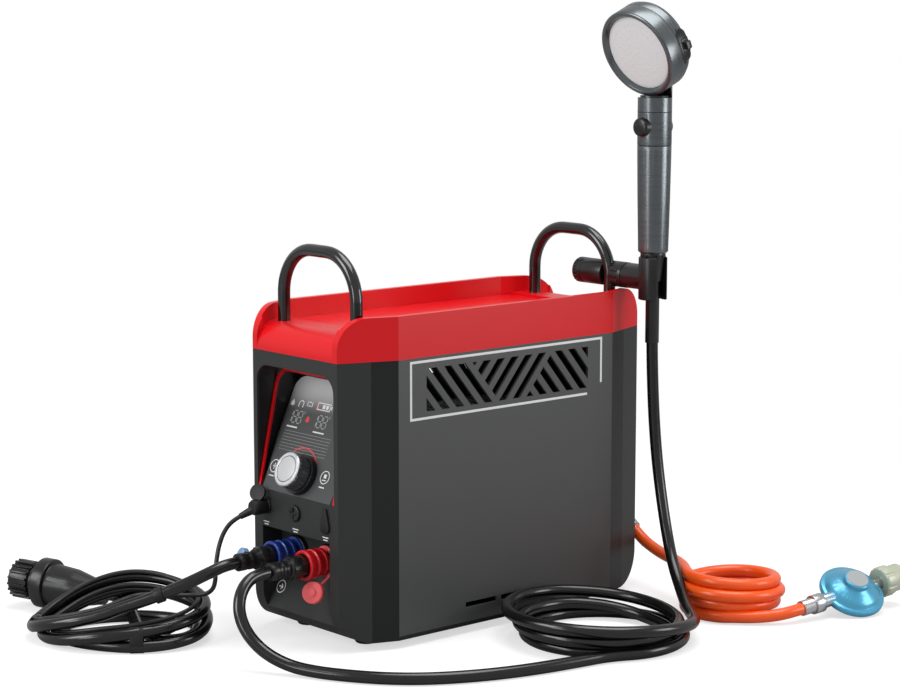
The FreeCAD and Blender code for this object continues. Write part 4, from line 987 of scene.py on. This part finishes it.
class HEATER_OT_handset(bpy.types.Operator):
    """Finish the hand shower, and set the nozzles in its face plate"""
    bl_idname = "heater.handset"
    bl_label = "Hand shower"

    GRIP_SEAM = 461.9
    SEAM_HALF = 0.75
    GRIP_TOP = 494.9
    RIM_RADIUS = 17.08
    RIM_HALF = 0.45
    COLLAR_TOP = 511
    COLLAR_INSET = 2.5

    SLOT_WIDTH = 12
    SLOT_LENGTH = 34
    SLOT_DEPTH = 7
    SLOT_RISE = 0.35
    SLOT_ALONG = 8.5
    SLOT_CORNER = 5.4
    HEAD_RADIUS = 45

    NOZZLE_RADIUS = 0.7
    NOZZLE_HEIGHT = 0.5
    NOZZLE_WALL = 0.3
    NOZZLE_TIP = 0.15
    RING_STEP = 6
    RING_COUNTS = (1, 8, 14, 20, 26, 32)

    def execute(self, context):
        dressed("cone_nut", dark_abs(), 0.3)
        grip = dressed("shower_grip", brushed_gunmetal(), 0.4, TUBE_BEND)
        paint(grip, dark_abs(), lambda c, n: abs(c.z - self.GRIP_SEAM) < self.SEAM_HALF)
        dressed("head_shell", turned_gunmetal(), 0.5, TUBE_BEND)
        dressed("head_bezel", turned_gunmetal(), 0.5, TUBE_BEND)
        self.collar()
        self.lever_slot()
        dressed("spray_plate", white_silicone(), 0.5)
        for node in ("stop_button", "mode_lever"):
            dressed(node, dark_abs(), 0.3)
        self.nozzles()
        return {"FINISHED"}

    def collar(self):
        """The black core of the neck: its rim shows as the upper seam, and its black top under the head is
        painted shade for the head's shadow.
        """
        piece = started("neck_collar", bpy.ops.mesh.primitive_cylinder_add, vertices=64,
                        radius=self.RIM_RADIUS * MM, depth=2 * self.RIM_HALF * MM,
                        location=Vector((HANDSET_X, HANDSET_Y, self.GRIP_TOP)) * MM)
        settle(piece)
        pick(piece, on_top)
        bpy.ops.mesh.inset(thickness=self.COLLAR_INSET * MM)
        drawn_out((0, 0, (self.COLLAR_TOP - self.GRIP_TOP - self.RIM_HALF) * MM))
        leave_edit()
        soften(piece, 0.15)
        smooth(piece)
        # black finish: partly a real dark neck part, partly painted shade standing in for the shadow under
        # the head
        wear(piece, dark_abs(), "handset")

    def lever_slot(self):
        """A black round-ended plate let into the head's rim, in which the mode lever stands."""
        drum = started("slot_drum", bpy.ops.mesh.primitive_cylinder_add, vertices=128,
                       radius=(self.HEAD_RADIUS + self.SLOT_RISE) * MM, depth=2 * self.SLOT_WIDTH * MM)
        piece = started("lever_slot", bpy.ops.mesh.primitive_cube_add, size=1,
                        location=(self.HEAD_RADIUS * MM, 0, 0))
        piece.scale = (self.SLOT_DEPTH * MM, self.SLOT_LENGTH * MM, self.SLOT_WIDTH * MM)
        settle(piece)
        for edge in piece.data.edges:
            a, b = (piece.data.vertices[i].co for i in edge.vertices)
            edge.select = abs(a.x - b.x) > abs(a.y - b.y) + abs(a.z - b.z)
        for face in piece.data.polygons:
            face.select = False
        bpy.ops.object.mode_set(mode="EDIT")
        bpy.ops.mesh.select_mode(type="EDGE")
        bpy.ops.mesh.bevel(offset=self.SLOT_CORNER * MM, segments=8)
        leave_edit()
        finish_with(piece, "BOOLEAN", operation="INTERSECT", object=drum, solver="EXACT")
        bpy.data.objects.remove(drum)
        soften(piece, 0.25)
        piece.matrix_world = stand(ALONG_X, HEAD_OUT, HEAD_BACK + HEAD_OUT * self.SLOT_ALONG)
        settle(piece)
        smooth(piece)
        wear(piece, dark_abs(), "handset")

    def nozzles(self):
        """Small raised nozzles in rings on the face plate, one modelled and the rest copied."""
        face = HEAD_BACK + HEAD_OUT * (HEAD_DEPTH - PLATE_RECESS)
        first = started("spray_nozzles", bpy.ops.mesh.primitive_cylinder_add, vertices=8,
                        radius=self.NOZZLE_RADIUS * MM, depth=self.NOZZLE_HEIGHT * MM)
        pick(first, on_top)
        bpy.ops.mesh.inset(thickness=self.NOZZLE_WALL * MM)
        bpy.ops.transform.translate(value=(0, 0, self.NOZZLE_TIP * MM))
        leave_edit()
        pieces = []
        for ring, count in enumerate(self.RING_COUNTS):
            radius = self.RING_STEP * ring
            for i in range(count):
                angle = 2 * math.pi * (i + 0.5 * (ring % 2)) / count
                spot = face + ALONG_X * radius * math.cos(angle) + HEAD_UP * radius * math.sin(angle)
                pieces.append(linked("spray_nozzle", first.data.copy()))
                pieces[-1].matrix_world = stand(ALONG_X, HEAD_OUT, spot)
        bpy.data.objects.remove(first)
        bpy.ops.object.select_all(action="DESELECT")
        for piece in pieces:
            piece.select_set(True)
        bpy.context.view_layer.objects.active = pieces[0]
        bpy.ops.object.join()
        joined = bpy.context.object
        joined.name = "spray_nozzles"
        settle(joined)
        smooth(joined, SHARP_BEND)
        wear(joined, white_silicone(), "handset")


# ---------------------------------------------------------------- laying the cords
class HEATER_OT_shower_hose(bpy.types.Operator):
    """Lay the shower hose from the red coupling through its coil to the hand shower"""
    bl_idname = "heater.shower_hose"
    bl_label = "Shower hose"

    OUTLET = [
        (PORT_X, PLUG_END, WATER_LEVEL), (PORT_X, -257, 80), (26.5, -271.5, 76), (31, -283.5, 64.5),
        (38.5, -289.5, 49.5), (50, -288.5, 33), (66, -281, 18), (88, -269.5, 8.5), (113, -257, 6),
        (141, -242, 6), (168, -223, 6), (192, -197, 6), (211, -164, 6), (225, -129, 6), (235, -91, 6),
        (241.5, -52, 6), (246, -20, 6),
    ]
    COIL_CENTRE = Vector((182, 32, 0))
    COIL_START = math.radians(-39.5 - 49)
    COIL_KEYS = [
        (0, 84, 6, 0), (1, 72, 6, 0), (1.35, 67.5, 6.3, 0), (1.45, 68.5, 13, 0), (1.55, 73, 17.8, 0),
        (1.75, 80, 18, -2), (2, 82, 18, -3), (2.3, 78, 18.3, -3), (2.6, 86, 29, -7), (2.9, 85, 30, -6),
        (3.05, 89, 28.5, -2), (3.22, 92, 21, 0),
    ]
    RISER = [
        (214, 118, 20), (184, 141, 27), (156, 157, 48), (137, 167, 77), (125, 171, 112), (118, 171.5, 148),
        (114, 171, 186), (112.2, 170, 225), (111.6, 169.1, 262), (111.5, 169, 299), (111.5, 169, 335),
    ]
    BEND_FOOT = 0.1
    BEND_TOP = 0.262

    def execute(self, context):
        radius = context.scene.heater_sizes.water_hose
        coil = turns(self.COIL_CENTRE, self.COIL_KEYS, self.COIL_START, aim=HANK_TURN)
        points = self.OUTLET + coil + self.RISER
        path = followed("shower_hose_route", points)
        tube = route("shower_hose_route", points, radius)
        alone(tube)
        bpy.ops.object.convert(target="MESH")
        piece = bpy.context.object
        piece.name = "shower_hose_whole"
        smooth(piece, 60)
        piece.data.materials.clear()
        piece.data.materials.append(water_hose_pvc())
        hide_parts("shower_hose", "shower_coil", "shower_riser")
        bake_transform(piece)
        return {"FINISHED"}


class HEATER_OT_inlet_lines(bpy.types.Operator):
    """Lay the inlet hose and the pump cable in their common oval hank"""
    bl_idname = "heater.inlet_lines"
    bl_label = "Inlet hose and pump cable"

    PLUG_RUN = [
        (-PORT_X, PLUG_END, WATER_LEVEL), (-PORT_X, -258, 80), (-28.5, -274, 74.5), (-37.5, -289.5, 66.5),
        (-50, -305.5, 57.5), (-66, -322.5, 48.5), (-82, -338.5, 41),
    ]
    HANK_START = math.radians(-105)
    HANK_KEYS = [
        (0.0, 70, 33), (0.08, 80, 24.5), (0.15, 89, 17), (0.19, 94, 10), (0.25, 95, 7.5), (0.32, 90, 25.5),
        (0.38, 84, 38.5), (0.43, 81, 44), (0.5, 80, 44), (0.6, 77, 36), (0.7, 76, 30), (0.85, 77, 22),
        (0.95, 81, 18), (1.0, 82, 16), (1.08, 83, 8.5), (1.15, 83, 6.2), (1.25, 82, 6.2), (1.32, 80, 17),
        (1.38, 79, 27), (1.43, 79, 31.5), (1.5, 79, 31), (1.6, 78, 24), (1.7, 77, 18), (1.8, 84, 9),
        (1.9, 85, 6.2), (2.0, 74, 6.2), (2.08, 70, 6.2), (2.25, 69, 6.2), (2.43, 71, 6.2), (2.62, 71, 6.2),
    ]
    PUMP_RUN = [
        by_hank(66, 4, 6.2), by_hank(65, 17, 6.2), by_hank(59, 30, 6.2), by_hank(47, 39, 6.4),
        by_hank(33, 40, 8.5), by_hank(21, 30, 11), by_hank(12, 11, 10.5), by_hank(5, -13, 11),
        by_hank(-3, -39, 15), by_hank(-13, -62, 21), tuple(PUMP_END + PUMP_WAY * 9), tuple(PUMP_END),
    ]
    BESIDE = Vector((-4.4, 3.8, 5.9))
    CABLE_RUN = [
        tuple(CABLE_ROOT), tuple(CABLE_ROOT + CABLE_WAY * 9), (-62.5, -233.5, 101.5), (-59, -241.5, 91),
        (-55.5, -247, 80), (-53, -250.5, 69), (-52, -251.5, 58.5), (-54.5, -252.5, 50), (-61, -255.5, 44.5),
        (-70, -260, 42.5), (-77, -268, 42), (-81, -281, 43), (-80, -296, 46.5), (-76, -310, 50.5),
        tuple(Vector((-72, -328.5, 46)) + BESIDE), tuple(Vector((-82, -338.5, 41)) + BESIDE),
    ]
    CABLE_TURNS = 1.72
    CABLE_INSIDE = 6.5
    CABLE_ABOVE = 6.3
    TIE_WIDTH = 13
    CLIP_WIDTH = 9
    TIE_LOW = (-63, -336, 6.2)
    TIE_HIGH = (-63, -336, 19)
    CLIP_SPOT = (-184, -376, 9)
    ABOVE = Vector((0, 0, 8))
    CABLE_END = [
        by_hank(69, 16, 24), by_hank(62, 28, 22), by_hank(51, 33, 17), by_hank(40, 28, 10),
        by_hank(31, 17, 5), by_hank(23, 4, 3), by_hank(15, -12, 2.5), by_hank(8, -30, 5),
        by_hank(1, -48, 14), by_hank(-7, -62, 24), tuple(PUMP_END + PUMP_WAY * 10 + ABOVE),
        tuple(PUMP_END + ABOVE),
    ]

    def execute(self, context):
        sizes = context.scene.heater_sizes
        hank = turns(HANK_CENTRE, self.HANK_KEYS, self.HANK_START, -1, HANK_SQUEEZE, HANK_TURN, first=0)
        points = self.PLUG_RUN + hank + self.PUMP_RUN
        hose = route("inlet_hose_whole", points, sizes.water_hose)
        wear(hose, water_hose_pvc(), "housing")
        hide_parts("inlet_hose", "inlet_coil")
        hose_path = followed("inlet", points)
        low, way = nearest(hose_path, self.TIE_LOW)
        high, _ = nearest(hose_path, self.TIE_HIGH)
        tie = strap("hank_tie", low, high, way, [sizes.water_hose] * 2, self.TIE_WIDTH, black_rubber())
        hank = turns(HANK_CENTRE, self.HANK_KEYS, self.HANK_START, -1, HANK_SQUEEZE, HANK_TURN,
                     first=0, last=self.CABLE_TURNS, shrink=self.CABLE_INSIDE, lift=self.CABLE_ABOVE)
        points = self.CABLE_RUN + hank + self.CABLE_END
        cable = route("pump_cable", points, sizes.cable)
        wear(cable, cable_rubber(), "housing")
        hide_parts("power_cable")
        path = followed("cable", points)
        hose_spot, way = nearest(hose_path, self.CLIP_SPOT)
        cable_spot, _ = nearest(path, hose_spot / MM)
        clip = strap("bend_clip", hose_spot, cable_spot, way, [sizes.water_hose, sizes.cable],
                     self.CLIP_WIDTH, gloss_black_paint())
        return {"FINISHED"}


class HEATER_OT_pump(bpy.types.Operator):
    """Finish the small submersible pump, its strainer and the clip"""
    bl_idname = "heater.pump"
    bl_label = "Pump"

    def execute(self, context):
        for node in ("pump_body", "pump_strainer"):
            dressed(node, dark_abs(), 0.4)
        dressed("cable_clips", black_rubber(), 0.3)
        return {"FINISHED"}


class HEATER_OT_gas_line(bpy.types.Operator):
    """Lay the gas hose with its fittings, and finish the regulator and handwheel"""
    bl_idname = "heater.gas_line"
    bl_label = "Gas line"

    SUPPLY = [
        tuple(GAS_ELBOW + GAS_WAY_OUT * 40), tuple(GAS_ELBOW + GAS_WAY_OUT * 58), (79, 205, 45),
        (97, 200.5, 42), (115, 195.5, 41), (133, 189, 40.5), (149, 180, 40.5), (163, 168, 40.5),
    ]
    COIL_CENTRE = Vector((198, 198, 0))
    COIL_START = math.radians(-139.4)
    COIL_KEYS = [
        (0, 45, 40.2), (0.2, 43.5, 39.6), (0.85, 44, 31), (0.95, 48.5, 29.4), (1.25, 48.5, 28.0),
        (1.8, 48, 21), (2.05, 44, 18.6), (2.25, 44, 17.6), (2.85, 44, 9), (3.0, 47, 6.3), (3.2, 46, 6.3),
    ]
    FERRULE_GAP = 8
    FERRULE_LENGTH = 26
    FERRULE = REGULATOR - GAS_WAY * (REGULATOR_RADIUS + FERRULE_GAP)
    TAIL = FERRULE - GAS_WAY * FERRULE_LENGTH
    DISC_RADIUS = 11
    DISC_THICKNESS = 0.3
    BARE_FROM = REGULATOR_RADIUS + 0.4
    END_RUN = [(229, 164, 7.2), (243.5, 175.5, 7.6), (257, 190, 9), tuple(TAIL - GAS_WAY * 17), tuple(TAIL)]

    def execute(self, context):
        radius = context.scene.heater_sizes.gas_hose
        dressed("gas_hose_fittings", nickel_steel(), 0.3)
        body = dressed("regulator_body", blue_hammer(), 0.5)
        self.fittings(body)
        dressed("regulator_handwheel", ivory_zinc(), 0.5)
        points = self.SUPPLY + turns(self.COIL_CENTRE, self.COIL_KEYS, self.COIL_START) + self.END_RUN
        hose = route("gas_hose_whole", points, radius)
        wear(hose, gas_hose_rubber(), "housing")
        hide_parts("gas_hose", "gas_coil")
        path = followed("gas", points)
        return {"FINISHED"}

    def fittings(self, body):
        """The hose nipple and the cylinder nut are bare metal, and a bare disc sits on the dome."""
        paint(body, nickel_steel(), lambda c, n: abs((c - REGULATOR).dot(GAS_WAY)) > self.BARE_FROM)
        across = ALONG_Z.cross(GAS_WAY).normalized() * -1
        out = ALONG_Z * math.cos(REGULATOR_LEAN) + across * math.sin(REGULATOR_LEAN)
        out = (out - GAS_WAY * out.dot(GAS_WAY)).normalized()
        disc = printed("dome_disc", [circle(0, 0, self.DISC_RADIUS)], REGULATOR + out * DOME_HEIGHT,
                       GAS_WAY, out.cross(GAS_WAY), faint_ink(), self.DISC_THICKNESS)


# ---------------------------------------------------------------- stage
class HEATER_OT_stage(bpy.types.Operator):
    """Set the pale floor, the soft lights and the camera"""
    bl_idname = "heater.stage"
    bl_label = "Stage"

    SKY_LEVEL = 0.4
    MIRRORED_SKY = 0.3
    FLOOR_TONES = (0.44, 0.47)
    SHADE_TONE = 0.5
    SHADE_LIFT = 0.62
    WHITE_FROM = 0.45
    WHITE_TO = 1.1
    LAMPS = (
        ("overhead", (0.3, 0.2, 2.4), 1.6, 38),
        ("control_side", (-0.7, -2.5, 1.5), 1.3, 34),
        ("control_strip", (0.1, -1.9, 0.4), 0.45, 3.5),
        ("grille_side", (1.2, 0.8, 0.5), 0.55, 5),
    )
    LAMP_AIM = Vector((0, 0, 0.25))
    LENS = 95.963
    SENSOR = 36
    CAMERA_AT = Vector((1773.9, -1537.3, 618.55))
    CAMERA_ROUND = math.radians(49.117)
    CAMERA_DOWN = math.radians(8.524)

    def execute(self, context):
        scene = context.scene
        scene.view_settings.view_transform = "Standard"
        self.world(scene)
        self.floor(scene)
        self.lamps()
        self.camera(scene)
        return {"FINISHED"}

    def world(self, scene):
        """White to the eye and through glass, a plain level on the object, and between them in gloss."""
        world = bpy.data.worlds.new("Studio")
        scene.world = world
        tree = bare_tree(world)
        path = add(tree, "LightPath", {})
        seen = add(tree, "Math", {
            0: path.outputs["Is Camera Ray"], 1: path.outputs["Is Transmission Ray"]}, operation="MAXIMUM")
        mirrored = add(tree, "Math", {
            0: path.outputs["Is Glossy Ray"], 1: self.MIRRORED_SKY}, operation="MULTIPLY")
        shown = add(tree, "Math", {0: seen, 1: mirrored}, operation="MAXIMUM")
        level = add(tree, "MapRange", {"Value": shown, "To Min": self.SKY_LEVEL, "To Max": 1.0})
        sky = add(tree, "Background", {"Color": (1, 1, 1, 1), "Strength": level})
        add(tree, "OutputWorld", {"Surface": sky})

    def floor(self, scene):
        """Shows the eye a shaded floor near the object and white farther off, and all else matt paint."""
        floor = started("studio_floor", bpy.ops.mesh.primitive_plane_add, size=scene.heater_sizes.floor)
        material = bpy.data.materials.new("Matt white floor paint")
        tree = bare_tree(material)
        place = add(tree, "TexCoord", {})
        away = add(tree, "VectorMath", {0: place.outputs["Object"]}, operation="LENGTH")
        fade = add(tree, "MapRange", {
            "Value": away.outputs["Value"], "From Min": self.WHITE_FROM, "From Max": self.WHITE_TO},
            interpolation_type="SMOOTHSTEP")
        grain = add(tree, "TexNoise", {"Vector": place.outputs["Object"], "Scale": 60.0, "Detail": 3.0})
        dark, pale = self.FLOOR_TONES
        tone = add(tree, "MixRGB", {"Fac": grain, "Color1": [dark] * 3 + [1], "Color2": [pale] * 3 + [1]})
        paint_coat = add(tree, "BsdfDiffuse", {"Color": tone})
        white = add(tree, "Emission", {"Color": (1, 1, 1, 1), "Strength": 1.0})
        shade = add(tree, "BsdfDiffuse", {"Color": [self.SHADE_TONE] * 3 + [1]})
        lift = add(tree, "Emission", {"Color": (1, 1, 1, 1), "Strength": self.SHADE_LIFT})
        near = add(tree, "AddShader", {0: shade, 1: lift})
        seen = add(tree, "MixShader", {"Fac": fade, 1: near, 2: white})
        path = add(tree, "LightPath", {})
        both = add(tree, "MixShader", {"Fac": path.outputs["Is Camera Ray"], 1: paint_coat, 2: seen})
        add(tree, "OutputMaterial", {"Surface": both})
        floor.data.materials.append(material)

    def lamps(self):
        """Soft lamps: one overhead, a high and a low one before the controls, and one by the grille."""
        for name, spot, size, power in self.LAMPS:
            lamp = bpy.data.lights.new(name, "AREA")
            lamp.shape = "SQUARE"
            lamp.size = size
            lamp.energy = power
            holder = linked(name, lamp)
            holder.visible_camera = False
            holder.location = spot
            holder.rotation_euler = (Vector(spot) - self.LAMP_AIM).to_track_quat("Z", "Y").to_euler()

    def camera(self, scene):
        data = bpy.data.cameras.new("camera")
        data.sensor_width = self.SENSOR
        data.sensor_fit = "HORIZONTAL"
        data.lens = self.LENS
        data.clip_end = 100
        a, e = self.CAMERA_ROUND, self.CAMERA_DOWN
        back = Vector((math.sin(a) * math.cos(e), -math.cos(a) * math.cos(e), math.sin(e)))
        right = Vector((math.cos(a), math.sin(a), 0))
        camera = linked("camera", data)
        camera.matrix_world = stand(right, back, self.CAMERA_AT)
        scene.camera = camera


STEPS = (
    HEATER_OT_case, HEATER_OT_cover, HEATER_OT_controls, HEATER_OT_ports, HEATER_OT_inside,
    HEATER_OT_holder, HEATER_OT_handset, HEATER_OT_pump, HEATER_OT_shower_hose, HEATER_OT_inlet_lines,
    HEATER_OT_gas_line, HEATER_OT_stage,
)


class HEATER_PT_sidebar(bpy.types.Panel):
    bl_idname = "HEATER_PT_sidebar"
    bl_label = "Portable water heater"
    bl_space_type = "VIEW_3D"
    bl_region_type = "UI"
    bl_category = "Heater"

    def draw(self, context):
        for group in (context.scene.heater_sizes, context.scene.heater_look):
            box = self.layout.box()
            for name in group.__annotations__:
                box.prop(group, name)
        for step in STEPS:
            self.layout.operator(step.bl_idname)


CLASSES = (HeaterSizes, HeaterLook, *STEPS, HEATER_PT_sidebar)


def register():
    for each in CLASSES:
        bpy.utils.register_class(each)
    bpy.types.Scene.heater_sizes = PointerProperty(type=HeaterSizes)
    bpy.types.Scene.heater_look = PointerProperty(type=HeaterLook)


def unregister():
    del bpy.types.Scene.heater_look
    del bpy.types.Scene.heater_sizes
    for each in reversed(CLASSES):
        bpy.utils.unregister_class(each)


def main():
    register()
    bpy.ops.heater.case()
    bpy.ops.heater.cover()
    bpy.ops.heater.controls()
    bpy.ops.heater.ports()
    bpy.ops.heater.inside()
    bpy.ops.heater.holder()
    bpy.ops.heater.handset()
    bpy.ops.heater.pump()
    bpy.ops.heater.shower_hose()
    bpy.ops.heater.inlet_lines()
    bpy.ops.heater.gas_line()
    bpy.ops.heater.stage()


if __name__ == "__main__":
    main()
